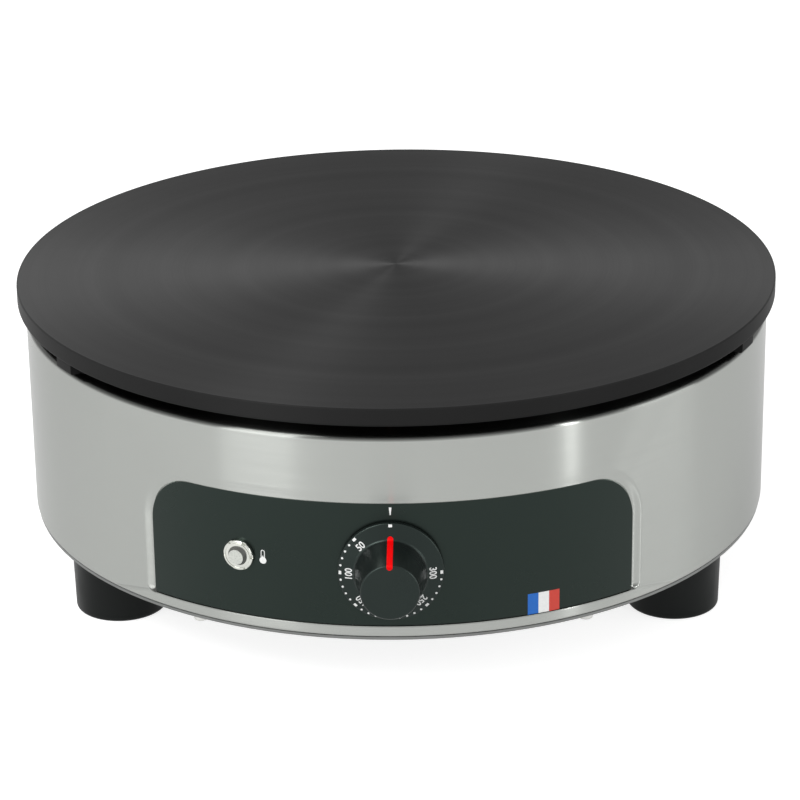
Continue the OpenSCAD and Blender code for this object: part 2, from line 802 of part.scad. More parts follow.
module bulb_saddle() {
    saddle_z = clamp_z + clamp_t + seat;
    color([0.6, 0.6, 0.58]) difference() {
        toward(0) translate([clamp_ring_r - 6, -bulb_d / 2 - 2, saddle_z])
            cube([12, bulb_d + 4, bulb_z - saddle_z]);
        facing(0, bulb_z) translate([0, 0, clamp_ring_r - 10])
            cylinder(h = 20, r = bulb_d / 2 + seat);
    }
}

module capillary_tube() {
    turn_y = shield_r + 4;
    tube_r = capillary_d / 2;
    color([0.75, 0.55, 0.4]) {
        facing(0, bulb_z) translate([0, 0, bulb_end + seat])
            cylinder(h = turn_y - bulb_end - seat, r = tube_r);
        toward(0) translate([turn_y, 0, bulb_z - capillary_bend]) rotate([90, 0, 0])
            rotate_extrude(angle = 90) translate([capillary_bend, 0]) circle(r = tube_r);
        toward(0) translate([turn_y + capillary_bend, 0, case_top_z + seat])
            cylinder(h = bulb_z - capillary_bend - case_top_z - seat, r = tube_r);
    }
}

// ---------- Indicator lamp ----------

module lamp_place() {
    facing(lamp_angle, lamp_z) children();
}

module lamp_bezel() {
    front = bezel_back + bezel_t;
    groove_r = (bezel_d + barrel_d) / 4 - 0.5;
    color([0.85, 0.86, 0.86]) lamp_place() difference() {
        rotate_extrude() {
            translate([0, bezel_back]) square([bezel_d / 2, bezel_t - bezel_edge_r]);
            translate([0, bezel_back]) square([bezel_d / 2 - bezel_edge_r, bezel_t]);
            translate([bezel_d / 2 - bezel_edge_r, front - bezel_edge_r]) circle(r = bezel_edge_r);
            translate([0, bezel_back - barrel_l]) square([barrel_r, barrel_l + 1]);
        }
        translate([0, 0, bezel_back - barrel_l - 1])
            cylinder(h = barrel_l + bezel_t + 2, r = lens_d / 2 + seat);
        translate([0, 0, front - groove_t]) difference() {
            cylinder(h = groove_t + 1, r = groove_r + groove_t / 2);
            translate([0, 0, -1]) cylinder(h = groove_t + 3, r = groove_r - groove_t / 2);
        }
        for (k = [0:notch_count - 1]) rotate([0, 0, notch_turn + 360 * k / notch_count])
            translate([groove_r + groove_t, -notch_w / 2, front - notch_depth]) cube([bezel_d, notch_w, 3]);
    }
}

module lamp_lens() {
    stem = 8 + bezel_t;
    color([0.92, 0.93, 0.9, 0.6]) lamp_place() translate([0, 0, bezel_back - 8]) {
        cylinder(h = stem, r = lens_d / 2);
        translate([0, 0, stem]) cylinder(h = lens_proud, r1 = lens_d / 2, r2 = lens_face_d / 2);
    }
}

module lamp_body() {
    back = bezel_back - barrel_l - seat;
    color([0.9, 0.9, 0.86]) lamp_place() {
        translate([0, 0, back - lamp_body_l]) cylinder(h = lamp_body_l, r = barrel_r - 0.4);
        for (side = [-1, 1])
            translate([-blade_w / 4, side * lamp_blade_gap / 2 - blade_t / 2,
                back - lamp_body_l - lamp_blade_l])
                cube([blade_w / 2, blade_t, lamp_blade_l + 1]);
    }
}

module lamp_nut() {
    color([0.8, 0.8, 0.78]) lamp_place() translate([0, 0, lamp_nut_face - lamp_nut_t])
        hex_nut(lamp_nut_af, lamp_nut_t, barrel_r + seat);
}

// ---------- Base, tie rods and feet ----------

module base_plate() {
    color([0.5, 0.51, 0.5]) translate([0, 0, base_z]) difference() {
        cylinder(h = base_t, r = body_r - base_inset, $fn = 256);
        translate([0, 0, -1]) {
            at_supports() cylinder(h = base_t + 2, r = rod_r + loose_gap);
            at_base_screws() cylinder(h = base_t + 2, r = m4_r + loose_gap);
            at_bracket_screws() cylinder(h = base_t + 2, r = m4_r + loose_gap);
            at_block_screws() cylinder(h = base_t + 2, r = 1.5 + loose_gap);
            for (i = [0:vent_slot_count - 1])
                translate([(i - (vent_slot_count - 1) / 2) * vent_pitch, 0, 0]) vent_slot();
        }
    }
}

module vent_slot() {
    straight = vent_slot_l - vent_slot_w;
    linear_extrude(base_t + 2) {
        translate([-vent_slot_w / 2, -straight / 2]) square([vent_slot_w, straight]);
        for (side = [-1, 1]) translate([0, side * straight / 2]) circle(r = vent_slot_w / 2);
    }
}

module base_screws() {
    color([0.8, 0.8, 0.78]) at_base_screws() translate([0, 0, base_z - seat])
        pan_screw(m4_r, m4_head_r, m4_head_h, base_t + sheet_t + 4);
}

module tie_rods() {
    start = foot_h - rod_reach;
    color([0.75, 0.75, 0.72]) at_supports() translate([0, 0, start])
        cylinder(h = top_z - boss_wall - 0.5 - start, r = rod_r);
}

module foot(angle) {
    top_r = foot_top_d / 2;
    low_r = foot_bottom_d / 2;
    color([0.1, 0.1, 0.1]) toward(angle) translate([support_r, 0, 0]) difference() {
        rotate_extrude() {
            polygon([[0, 0], [low_r - foot_edge_r, 0], [low_r - foot_edge_r, foot_edge_r],
                [low_r, foot_edge_r], [top_r, base_z - seat], [0, base_z - seat]]);
            translate([low_r - foot_edge_r, foot_edge_r]) circle(r = foot_edge_r);
        }
        translate([0, 0, insert_z - seat]) cylinder(h = foot_h, r = insert_r + seat);
        translate([0, 0, base_z - insert_flange_t - 2 * seat])
            cylinder(h = insert_flange_t + 5, r = insert_flange_r + seat);
        translate([0, 0, -1]) cylinder(h = 4, r = insert_r + 1.5);
    }
}

module foot_left() { foot(support_angles[0]); }
module foot_right() { foot(support_angles[1]); }
module foot_rear() { foot(support_angles[2]); }

module foot_inserts() {
    top = base_z - seat;
    color([0.75, 0.75, 0.72]) at_supports() difference() {
        union() {
            translate([0, 0, insert_z]) cylinder(h = top - insert_z, r = insert_r);
            translate([0, 0, top - insert_flange_t]) cylinder(h = insert_flange_t, r = insert_flange_r);
        }
        translate([0, 0, foot_h - rod_reach - 1]) cylinder(h = rod_reach + 5, r = rod_r + seat);
    }
}

// ---------- Cable gland at the back ----------

module gland_place() {
    facing(180, gland_z) children();
}

module gland_through(r) {
    translate([0, 0, body_r - 60]) cylinder(h = 200, r = r);
}

module gland_body() {
    tail = body_r - 16;
    color([0.12, 0.12, 0.12]) gland_place() difference() {
        union() {
            translate([0, 0, tail]) cylinder(h = gland_back - tail + eps, r = gland_r);
            translate([0, 0, gland_back]) cylinder(h = gland_hex_t, r = gland_nut_rc, $fn = 6);
            translate([0, 0, gland_back + gland_hex_t - eps])
                cylinder(h = gland_cap_l * 0.4, r = gland_r - 0.5);
        }
        gland_through(gland_body_bore / 2);
    }
}

module gland_cap() {
    wall_r = gland_af / 2 - 0.6;
    start = gland_back + gland_hex_t + seat;
    straight = gland_cap_l * 0.55;
    nose_l = gland_cap_l - straight - seat;
    color([0.12, 0.12, 0.12]) gland_place() difference() {
        union() {
            translate([0, 0, start]) cylinder(h = straight, r = gland_nut_rc, $fn = 6);
            translate([0, 0, start + straight]) rotate_extrude()
                polygon([[0, -1], [wall_r, -1], [wall_r, nose_l / 3], [wall_r - nose_l / 3, nose_l],
                    [0, nose_l]]);
        }
        translate([0, 0, start - 1]) cylinder(h = gland_cap_l * 0.8 + 1, r = gland_r - 0.5 + seat);
        gland_through(gland_bore / 2 + 0.3);
    }
}

module gland_seal() {
    start = gland_back + gland_hex_t + gland_cap_l * 0.4 + seat;
    color([0.2, 0.2, 0.2]) gland_place() difference() {
        translate([0, 0, start]) cylinder(h = gland_cap_l * 0.4 - 2 * seat, r = gland_r - 0.6);
        gland_through(gland_bore / 2);
    }
}

module gland_nut() {
    color([0.12, 0.12, 0.12]) gland_place() translate([0, 0, gland_nut_face - gland_nut_t])
        hex_nut(gland_af, gland_nut_t, gland_r + seat);
}

// ---------- Terminal block, earth stud and wires ----------

module at_block_screws() {
    for (side = [-1, 1]) translate([block_x + side * block_pitch / 2, block_y, 0]) children();
}

module terminal_block() {
    color([0.93, 0.92, 0.88]) difference() {
        translate([block_x - block_l / 2, block_y - block_w / 2, shell_z + seat])
            cube([block_l, block_w, block_h]);
        for (i = [-1:1]) translate([block_x + i * block_pitch, block_y - block_w, clamp_mid_z])
            rotate([-90, 0, 0]) cylinder(h = 2 * block_w, r = clamp_hole_r + 1 + seat);
        at_block_screws() cylinder(h = shell_z + block_h + 5, r = 1.5 + seat);
    }
}

module terminal_clamps() {
    color([0.8, 0.68, 0.35]) for (i = [-1:1])
        translate([block_x + i * block_pitch, block_y - block_w / 2 + 2, clamp_mid_z])
            rotate([-90, 0, 0]) difference() {
                cylinder(h = block_w - 4, r = clamp_hole_r + 1);
                translate([0, 0, -1]) cylinder(h = block_w, r = clamp_hole_r);
            }
}

module terminal_screws() {
    color([0.8, 0.8, 0.78]) at_block_screws() translate([0, 0, base_z - seat])
        pan_screw(1.5, 2.8, 2, base_t + block_h - 2);
}

module earth_stud() {
    color([0.8, 0.68, 0.35]) translate([earth_x, earth_y, shell_z + seat])
        cylinder(h = earth_h, r = earth_r);
}

module earth_nuts() {
    color([0.8, 0.8, 0.78]) translate([earth_x, earth_y, shell_z + 2 * seat]) {
        hex_nut(8, 4, earth_r + seat);
        translate([0, 0, 4 + wire_d + 0.4]) hex_nut(8, 4, earth_r + seat);
    }
}

function pin_tip(side) =
    polar(180 + side * half_step, end_r, end_z - seat - bead_l - pin_l - wire_end_gap);
function clamp_mouth(x) = [block_x + x, block_y - block_w / 2 + 4, clamp_mid_z];

module wire_supply_live() {
    end = clamp_mouth(-block_pitch);
    color([0.45, 0.25, 0.12]) wire([
        [blade_pitch, blade_end_y, blade_z], [blade_pitch, blade_end_y + 12, blade_z],
        [24, -90, 44], [52, -20, 40], [60, 40, 42], [end[0], 74, clamp_mid_z], end]);
}

module wire_heater_live() {
    tip = pin_tip(1);
    color([0.75, 0.2, 0.15]) wire([
        [0, blade_end_y, blade_z], [0, blade_end_y + 12, blade_z], [-14, -80, 62],
        [-28, -20, 60], [tip[0] - 4, 32, 64], [tip[0], tip[1], tip[2] - 10], tip]);
}

module wire_heater_neutral() {
    tip = pin_tip(-1);
    end = clamp_mouth(block_pitch - 1.45);
    color([0.2, 0.3, 0.6]) wire([
        tip, [tip[0], tip[1], tip[2] - 10], [tip[0] + 14, 44, 60], [50, 48, 50],
        [end[0] - 7, 66, clamp_mid_z], [end[0] - 1, 80, clamp_mid_z], end]);
}

module wire_lamp_live() {
    start = polar(lamp_angle, lamp_wire_r, lamp_z - lamp_blade_gap / 2);
    color([0.75, 0.2, 0.15]) wire([
        start, polar(lamp_angle, lamp_wire_r - 10, lamp_z - lamp_blade_gap / 2),
        [-38, -108, 62], [-20, -106, 60], [-blade_pitch, blade_end_y + 12, blade_z],
        [-blade_pitch, blade_end_y, blade_z]]);
}

module wire_lamp_neutral() {
    start = polar(lamp_angle, lamp_wire_r, lamp_z + lamp_blade_gap / 2);
    end = clamp_mouth(block_pitch + 1.45);
    color([0.2, 0.3, 0.6]) wire([
        start, polar(lamp_angle, lamp_wire_r - 10, lamp_z + lamp_blade_gap / 2),
        [-56, -90, 70], [-40, -40, 48], [20, -10, 46], [70, 20, 44], [end[0] + 5, 62, clamp_mid_z],
        [end[0] + 1, 80, clamp_mid_z], end]);
}

module wire_earth() {
    lug = [earth_x, earth_y - earth_r - wire_d / 2 - 0.3, shell_z + 2 * seat + 4 + wire_d / 2 + 0.2];
    color([0.35, 0.55, 0.2]) wire([
        lug, [earth_x + 10, lug[1] - 1, lug[2]], [-20, 96, 42], [30, 70, 40],
        [block_x - 8, 70, clamp_mid_z - 2], [block_x, 79, clamp_mid_z], clamp_mouth(0)]);
}

griddle_plate();
heating_element();
element_terminals();
element_clamp();
clamp_stud();
clamp_nuts();
shield_washer();
insulation_pad();
heat_shield();
body_shell();
rim_flange();
control_panel();
knob();
knob_pointer();
thermostat_spindle();
thermostat_case();
thermostat_blades();
thermostat_screws();
thermostat_bracket();
bracket_screws();
thermostat_bulb();
bulb_saddle();
capillary_tube();
lamp_bezel();
lamp_lens();
lamp_body();
lamp_nut();
base_plate();
base_screws();
tie_rods();
foot_left();
foot_right();
foot_rear();
foot_inserts();
gland_body();
gland_cap();
gland_seal();
gland_nut();
terminal_block();
terminal_clamps();
terminal_screws();
earth_stud();
earth_nuts();
wire_supply_live();
wire_heater_live();
wire_heater_neutral();
wire_lamp_live();
wire_lamp_neutral();
wire_earth();
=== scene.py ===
"""Looks of the countertop crepe maker: dressed meshes, finishes, light and camera round the frame.

Metres, in the frame's own axes: +Z is up and the control panel faces -Y. Angles are taken from the
front, positive towards +X.
"""
import json
import math

import bmesh
import bpy
from mathutils import Matrix, Vector


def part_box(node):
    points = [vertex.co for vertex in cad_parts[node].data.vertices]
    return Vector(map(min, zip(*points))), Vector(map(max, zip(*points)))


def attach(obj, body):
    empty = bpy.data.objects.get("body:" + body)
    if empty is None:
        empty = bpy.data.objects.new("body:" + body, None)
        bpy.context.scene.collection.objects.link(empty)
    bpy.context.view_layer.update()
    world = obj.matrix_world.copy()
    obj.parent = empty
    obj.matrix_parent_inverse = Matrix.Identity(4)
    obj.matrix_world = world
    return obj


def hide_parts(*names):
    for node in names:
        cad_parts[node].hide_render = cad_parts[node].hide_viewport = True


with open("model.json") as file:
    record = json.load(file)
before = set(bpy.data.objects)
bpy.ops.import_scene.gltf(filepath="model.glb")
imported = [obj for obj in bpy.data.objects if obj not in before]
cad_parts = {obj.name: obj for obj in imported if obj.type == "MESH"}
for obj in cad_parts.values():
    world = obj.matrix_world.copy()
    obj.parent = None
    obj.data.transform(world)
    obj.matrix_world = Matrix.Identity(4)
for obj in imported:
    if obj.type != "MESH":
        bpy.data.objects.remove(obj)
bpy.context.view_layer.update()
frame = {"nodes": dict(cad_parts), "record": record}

MM = 0.001
BODY = "cooker"
DIAL = "dial"

# ---------- Sizes, from the frame where it has them ----------

shell_low, shell_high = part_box("body_shell")
plate_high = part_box("griddle_plate")[1]
panel_low, panel_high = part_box("control_panel")
knob_low, knob_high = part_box("knob")

BODY_R = shell_high.x
SHELL_Z = shell_low.z
RIM_Z = shell_high.z
SHEET_T = 1.0 * MM
RIM_R = 2.8 * MM
RIM_FLANGE_W = 20.0 * MM
RIM_BEND = 2.0 * MM
RIM_LIP = 4.0 * MM
FLANGE_W = 8.5 * MM
FLANGE_BEND = 1.6 * MM

PANEL_OUT_R = -panel_low.y
PANEL_T = 1.0 * MM
PANEL_HALF_W = 128.0 * MM
PANEL_TOP_R = 25.0 * MM
PANEL_BOTTOM_R = 2.2 * MM
PANEL_Z0 = panel_low.z
PANEL_Z1 = panel_high.z - 0.3 * MM
PANEL_BEVEL = 0.4 * MM
RECESS_DEPTH = 1.5 * MM
RECESS_BORDER = 5.6 * MM
RECESS_FOOT = 0.8 * MM
RECESS_SOFT = 0.6 * MM    # how far the recess's soft wall starts outside its border
RECESS_GAP = 0.2 * MM     # between that wall's foot and the panel's edge
RECESS_TOP = 0.15         # share of the depth that the wall takes along the panel's top edge
RECESS_BOTTOM = 0.06      # the same share along its lower edge

PLATE_R = plate_high.x
PLATE_TOP = plate_high.z
PLATE_EDGE_T = 10.0 * MM
PLATE_CORE_T = 13.0 * MM
PLATE_BAND_W = 22.0 * MM
PLATE_ROUND = 0.9 * MM
LUG_W = 14.5 * MM
LUG_TURN = 4.3
LUG_LIFT = 1.0 * MM
LUG_EDGE = 1.2 * MM
LUG_OUT_R = PLATE_R - 1.0 * MM
SEAT_WIDE = 0.2 * MM
BOSS_R = 8.5 * MM
SUPPORT_R = BODY_R - 29.4 * MM
SUPPORT_ANGLES = (-60, 60, 180)

KNOB_Z = (knob_low.z + knob_high.z) / 2
KNOB_BACK_Y = knob_high.y
SKIRT_R = 25.8 * MM
SKIRT_EDGE_T = 2.2 * MM
SKIRT_ROOT_T = 4.2 * MM
SKIRT_ROOT_R = 18.6 * MM
MARK_R = 24.6 * MM
DIGIT_R = 20.45 * MM
DIGIT_H = 3.6 * MM
DIGIT_SQUEEZE = 0.86      # width of the digits against the font's own
DIGIT_WEIGHT = 0.018      # how much fatter they are than the font's, in the font's units
KNOB_L = KNOB_BACK_Y - knob_low.y
GRIP_ROOT_R = 17.7 * MM
GRIP_FRONT_R = 14.2 * MM
POINTER_HALF = 1.45 * MM
POINTER_START = 19.7 * MM
POINTER_END = 12.0 * MM
POINTER_PROUD = 0.3 * MM
POINTER_SUNK = 0.6 * MM
POINTER_SHOULDER = 0.85   # share of its width at which the strip reaches its full height
AXIS_R = 0.02 * MM        # stands for no radius, where a mesh would close on itself


# ---------- Meshes ----------

def rounded(points, radii, steps):
    """Half section with its corners rounded, one radius for each point. 0 keeps the corner."""
    result = []
    count = len(points)
    for i, (point, radius) in enumerate(zip(points, radii)):
        here = Vector(point)
        if radius <= 0:
            result.append(here)
            continue
        back = (Vector(points[i - 1]) - here).normalized()
        on = (Vector(points[(i + 1) % count]) - here).normalized()
        half = back.angle(on) / 2
        centre = here + (back + on).normalized() * radius / math.sin(half)
        first = here + back * radius / math.tan(half) - centre
        last = here + on * radius / math.tan(half) - centre
        sweep = first.angle_signed(last)
        for k in range(steps + 1):
            result.append(centre + Matrix.Rotation(-sweep * k / steps, 2) @ first)
    return result


def arc(centre, radius, start, end, steps):
    """Points of an arc in a half section, with its angles in degrees."""
    result = []
    for i in range(steps + 1):
        a = math.radians(start + (end - start) * i / steps)
        result.append(Vector((centre[0] + radius * math.cos(a), centre[1] + radius * math.sin(a))))
    return result


def polar(angle, r, z):
    """Place at an angle in radians from the front."""
    return Vector((r * math.sin(angle), -r * math.cos(angle), z))


def add_quads(bm, rows, closed):
    """Quads between rows of points. closed joins each row's last point to its first."""
    verts = [[bm.verts.new(p) for p in row] for row in rows]
    for low, high in zip(verts, verts[1:]):
        count = len(low)
        for i in range(count if closed else count - 1):
            j = (i + 1) % count
            bm.faces.new((low[i], low[j], high[j], high[i]))
    return verts


def add_piece(bm, name, finish, body, replaces=(), weld=1e-7, smooth_angle=40):
    """Makes the object of a finished mesh and puts it on its body."""
    bmesh.ops.remove_doubles(bm, verts=bm.verts, dist=weld)
    bmesh.ops.recalc_face_normals(bm, faces=bm.faces)
    mesh = bpy.data.meshes.new(name)
    bm.to_mesh(mesh)
    bm.free()
    mesh.shade_smooth()
    mesh.set_sharp_from_angle(angle=math.radians(smooth_angle))
    mesh.materials.append(finish)
    piece = bpy.data.objects.new(name, mesh)
    bpy.context.scene.collection.objects.link(piece)
    normals = piece.modifiers.new("weighted_normals", "WEIGHTED_NORMAL")
    normals.keep_sharp = True
    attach(piece, body)
    if replaces:
        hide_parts(*replaces)
    return piece


def turned(bm, section, angles=None, steps=256, place=None):
    """Adds a closed half section turned about Z. angles are in radians, and None is a full turn."""
    place = place or Matrix.Identity(4)
    full = angles is None
    angles = [2 * math.pi * i / steps for i in range(steps)] if full else angles
    rows = [[place @ polar(a, *p) for a in angles] for p in section]
    verts = add_quads(bm, rows + [rows[0]], closed=full)
    if not full:
        for end in (0, -1):
            bm.faces.new([row[end] for row in verts[:-1]])


def wrapped(s, z, r):
    """Place on the drum: s is the length along its face from the front, and r the radius."""
    return polar(s / BODY_R, r, z)


TOP_STEPS = 96            # along the top edge of a plate outline, and along its lower edge
SIDE_STEPS = 20
CORNER_STEPS = 28
WALL_RINGS = 12           # down the recess's soft wall


def plate_outline(half_w, z_low, z_high, r_low, r_high):
    """(s, z) round a plate with rounded corners, clockwise from the left end of its top edge."""
    wide, narrow = half_w - r_high, half_w - r_low
    corners = (
        (wide, z_high - r_high, r_high, 90), (narrow, z_low + r_low, r_low, 0),
        (-narrow, z_low + r_low, r_low, -90), (-wide, z_high - r_high, r_high, -180))
    starts = ((-wide, z_high), (half_w, z_high - r_high), (narrow, z_low), (-half_w, z_low + r_low))
    points = []
    for (cs, cz, r, turn), start, steps in zip(corners, starts, (TOP_STEPS, SIDE_STEPS) * 2):
        bend = arc((cs, cz), r, turn, turn - 90, CORNER_STEPS)
        for i in range(steps):
            points.append(Vector(start).lerp(bend[0], i / steps))
        points.extend(bend[:-1])
    return points


def frame_outline(inner, half_w, z_low, z_high):
    """Points on a rectangle that answer a plate outline's points one by one."""
    half = CORNER_STEPS // 2
    block = [TOP_STEPS, CORNER_STEPS, SIDE_STEPS, CORNER_STEPS] * 2
    starts = [sum(block[:i]) for i in range(9)]
    side_s = [None, half_w, half_w, half_w, None, -half_w, -half_w, -half_w]
    points = []
    for k in range(8):
        first, last = starts[k], starts[k + 1]
        for i in range(first, last):
            s, z = inner[i]
            if k in (0, 4):
                points.append(Vector((s, z_high if k == 0 else z_low)))
            elif k in (2, 6):
                points.append(Vector((side_s[k], z)))
            else:
                begin, end = inner[first], inner[last % len(inner)]
                corner = Vector((side_s[k], z_high if k in (1, 7) else z_low))
                along_top = k in (1, 5)
                leave = Vector((begin.x, corner.y)) if along_top else Vector((corner.x, begin.y))
                reach = Vector((corner.x, end.y)) if along_top else Vector((end.x, corner.y))
                t = (i - first) / half
                points.append(leave.lerp(corner, t) if t <= 1 else corner.lerp(reach, t - 1))
    return points


def fill_outline(bm, ring):
    """Fills a ring that follows a plate outline: strips in the middle, a cap at each end."""
    low_start = TOP_STEPS + 2 * CORNER_STEPS + SIDE_STEPS
    for i in range(TOP_STEPS):
        j = low_start + TOP_STEPS - i
        bm.faces.new((ring[i], ring[i + 1], ring[j - 1], ring[j]))
    bm.faces.new(ring[TOP_STEPS:low_start + 1])
    bm.faces.new(ring[low_start + TOP_STEPS:] + ring[:1])


def smooth_step(t):
    return (1 - math.cos(math.pi * t)) / 2


def wall_share(count):
    """Share of the recess's depth that its soft wall takes, point by point: most at the sides."""
    shares = []
    low_start = TOP_STEPS + 2 * CORNER_STEPS + SIDE_STEPS
    for i in range(count):
        from_top = min(max(i - TOP_STEPS, 0), count - i) / CORNER_STEPS
        from_bottom = max(low_start - i, i - low_start - TOP_STEPS, 0) / CORNER_STEPS
        top = RECESS_TOP + (1 - RECESS_TOP) * smooth_step(min(from_top, 1))
        bottom = RECESS_BOTTOM + (1 - RECESS_BOTTOM) * smooth_step(min(from_bottom, 1))
        shares.append(min(top, bottom))
    return shares


def drum_face(bm, offset):
    """One face of the drum's wall with the panel's recess, moved inwards by an offset.

    Returns the columns' angles along its upper and its lower edge.
    """
    reach = 30 * MM          # of the fine columns past the panel's ends
    wall_rise = 0.8          # share of RECESS_FOOT that the wall climbs on its way in
    floor_foot = 0.1         # share of it that the floor keeps under the panel
    floor_gap = RECESS_GAP / 2
    floor_corner = 0.5 * MM  # less than the panel's upper corners
    low, high = SHELL_Z + FLANGE_BEND, RIM_Z - RIM_R
    outset = RECESS_BORDER + RECESS_SOFT
    outlines = []
    for i in range(WALL_RINGS + 1):
        t = i / WALL_RINGS
        inset = (outset - RECESS_GAP) * t
        outlines.append(plate_outline(
            PANEL_HALF_W + outset - inset, PANEL_Z0 - RECESS_FOOT * (1 - wall_rise * t),
            PANEL_Z1 + outset - inset, PANEL_BOTTOM_R + RECESS_BORDER / 2 * (1 - t),
            PANEL_TOP_R + RECESS_BORDER - inset))
    half_s = PANEL_HALF_W + reach
    border = frame_outline(outlines[0], half_s, low, high)
    rings = [[wrapped(p.x, p.y, BODY_R - offset) for p in border]]
    for i, outline in enumerate(outlines):
        depth = RECESS_DEPTH * smooth_step(i / WALL_RINGS)
        rings.append([wrapped(p.x, p.y, BODY_R - offset - depth * share)
                      for p, share in zip(outline, wall_share(len(outline)))])
    floor = plate_outline(
        PANEL_HALF_W + floor_gap, PANEL_Z0 - RECESS_FOOT * floor_foot, PANEL_Z1 + floor_gap,
        PANEL_BOTTOM_R, PANEL_TOP_R - floor_corner)
    rings.append([wrapped(p.x, p.y, BODY_R - offset - RECESS_DEPTH) for p in floor])
    fill_outline(bm, add_quads(bm, rings, closed=True)[-1])

    side_start = TOP_STEPS + CORNER_STEPS // 2
    side_end = side_start + CORNER_STEPS + SIDE_STEPS
    heights = [border[i].y for i in range(side_start, side_end + 1)]
    around = 2 * math.pi * BODY_R
    back_steps = 300
    back = [half_s + (around - 2 * half_s) * i / back_steps for i in range(back_steps + 1)]
    add_quads(bm, [[wrapped(s, z, BODY_R - offset) for s in back] for z in heights], closed=False)
    count = len(border)
    top = [border[i % count].x for i in range(side_start - TOP_STEPS - CORNER_STEPS, side_start)]
    mirror = 2 * side_start + CORNER_STEPS + SIDE_STEPS
    bottom = [border[i % count].x for i in range(side_end, mirror + CORNER_STEPS // 2)]
    bottom = [-half_s] + [s for s in reversed(bottom) if s > -half_s + 1e-9][:-1]
    return [[s / BODY_R for s in row + back[:-1]] for row in (top, bottom)]


def make_drum(finish):
    bm = bmesh.new()
    top, bottom = drum_face(bm, 0.0)
    drum_face(bm, SHEET_T)
    lip_r = BODY_R - RIM_FLANGE_W
    edge = (BODY_R - RIM_R, RIM_Z - RIM_R)
    bend = (lip_r + RIM_BEND, RIM_Z - RIM_BEND)
    rim = arc(edge, RIM_R, 0, 90, 12) + arc(bend, RIM_BEND, 90, 180, 6)
    rim += [Vector((lip_r, RIM_Z - RIM_LIP)), Vector((lip_r + SHEET_T, RIM_Z - RIM_LIP))]
    rim += arc(bend, RIM_BEND - SHEET_T, 180, 90, 4) + arc(edge, RIM_R - SHEET_T, 90, 0, 10)
    add_quads(bm, [[polar(a, *p) for a in top] for p in rim], closed=True)
    bend_z = SHELL_Z + FLANGE_BEND
    foot = arc((BODY_R - FLANGE_BEND, bend_z), FLANGE_BEND, 0, -90, 8)
    foot += [Vector((BODY_R - FLANGE_W, SHELL_Z)), Vector((BODY_R - FLANGE_W, SHELL_Z + SHEET_T))]
    foot += arc((BODY_R - FLANGE_BEND, bend_z), FLANGE_BEND - SHEET_T, -90, 0, 6)
    add_quads(bm, [[polar(a, *p) for a in bottom] for p in foot], closed=True)
    return add_piece(
        bm, "drum_skin", finish, BODY, ["body_shell", "rim_flange"], weld=2e-6)


def make_panel(finish):
    """Curved plate with rounded corners and a small bevel round its face."""
    bm = bmesh.new()
    least_r = 0.3 * MM
    face_rings = (0.6, 1.5, 3, 6, 10, 14, 18, 21, 22.6)  # millimetres in from the edge
    insets = [(0, PANEL_T)]
    for a in map(math.radians, (0, 22.5, 45, 67.5, 90)):
        insets.append((PANEL_BEVEL * (1 - math.cos(a)), PANEL_BEVEL * (1 - math.sin(a))))
    insets += [(d * MM, 0) for d in face_rings]
    rings = []
    for inset, depth in insets:
        outline = plate_outline(
            PANEL_HALF_W - inset, PANEL_Z0 + inset, PANEL_Z1 - inset,
            max(PANEL_BOTTOM_R - inset, least_r), max(PANEL_TOP_R - inset, least_r))
        rings.append([wrapped(p.x, p.y, PANEL_OUT_R - depth) for p in outline])
    verts = add_quads(bm, rings, closed=True)
    fill_outline(bm, verts[-1])
    ring = [bm.verts.new(v.co.copy()) for v in verts[0]]
    fill_outline(bm, ring)
    return add_piece(bm, "panel_face", finish, BODY, ["control_panel"])


def add_lugs(bm, edge_z):
    """Three lugs that stand on the drum's flange, their outer ends lifted over its rounded edge."""
    inner, outer = BODY_R - RIM_FLANGE_W + RIM_BEND, LUG_OUT_R
    step = BODY_R - RIM_R
    low = RIM_Z + SEAT_WIDE
    lug = rounded(
        [(inner, edge_z + 2 * MM), (inner, low), (step - LUG_LIFT, low), (step, low + LUG_LIFT),
         (outer, low + LUG_LIFT), (outer, edge_z + 2 * MM)],
        [0, 0.6 * MM, 1 * MM, 1 * MM, LUG_EDGE, 0], steps=4)
    half = LUG_W / 2 / LUG_OUT_R
    for angle in SUPPORT_ANGLES:
        middle = math.radians(angle + LUG_TURN)
        turned(bm, lug, [middle + half * k / 6 for k in range(-6, 7)])


def make_plate(finish):
    """The griddle: machined top with a rounded edge, cast underside with core, lugs and bosses."""
    bm = bmesh.new()
    edge_z = PLATE_TOP - PLATE_EDGE_T
    core_z = PLATE_TOP - PLATE_CORE_T
    core_r = PLATE_R - PLATE_BAND_W
    section = rounded(
        [(core_r, core_z), (core_r, edge_z), (PLATE_R, edge_z), (PLATE_R, PLATE_TOP)],
        [2 * MM, 2 * MM, 1.2 * MM, PLATE_ROUND], steps=8)
    under = [Vector((AXIS_R, core_z))] + [Vector((core_r * k / 4, core_z)) for k in (1, 2, 3)]
    top = [Vector((PLATE_R * k / 12, PLATE_TOP)) for k in range(11, 0, -1)]
    section = under + section + top + [Vector((AXIS_R, PLATE_TOP))]
    angles = [2 * math.pi * i / 360 for i in range(360)]
    verts = add_quads(bm, [[polar(a, *p) for a in angles] for p in section], closed=True)
    bm.faces.new(verts[0])
    bm.faces.new(verts[-1])
    add_lugs(bm, edge_z)
    for angle in SUPPORT_ANGLES:
        low, high = RIM_Z + SEAT_WIDE, core_z + 1 * MM
        boss = [Vector(p) for p in ((0, low), (BOSS_R, low), (BOSS_R, high), (0, high))]
        place = Matrix.Translation(polar(math.radians(angle), SUPPORT_R, 0))
        turned(bm, boss, steps=48, place=place)
    return add_piece(bm, "plate_casting", finish, BODY, ["griddle_plate"])


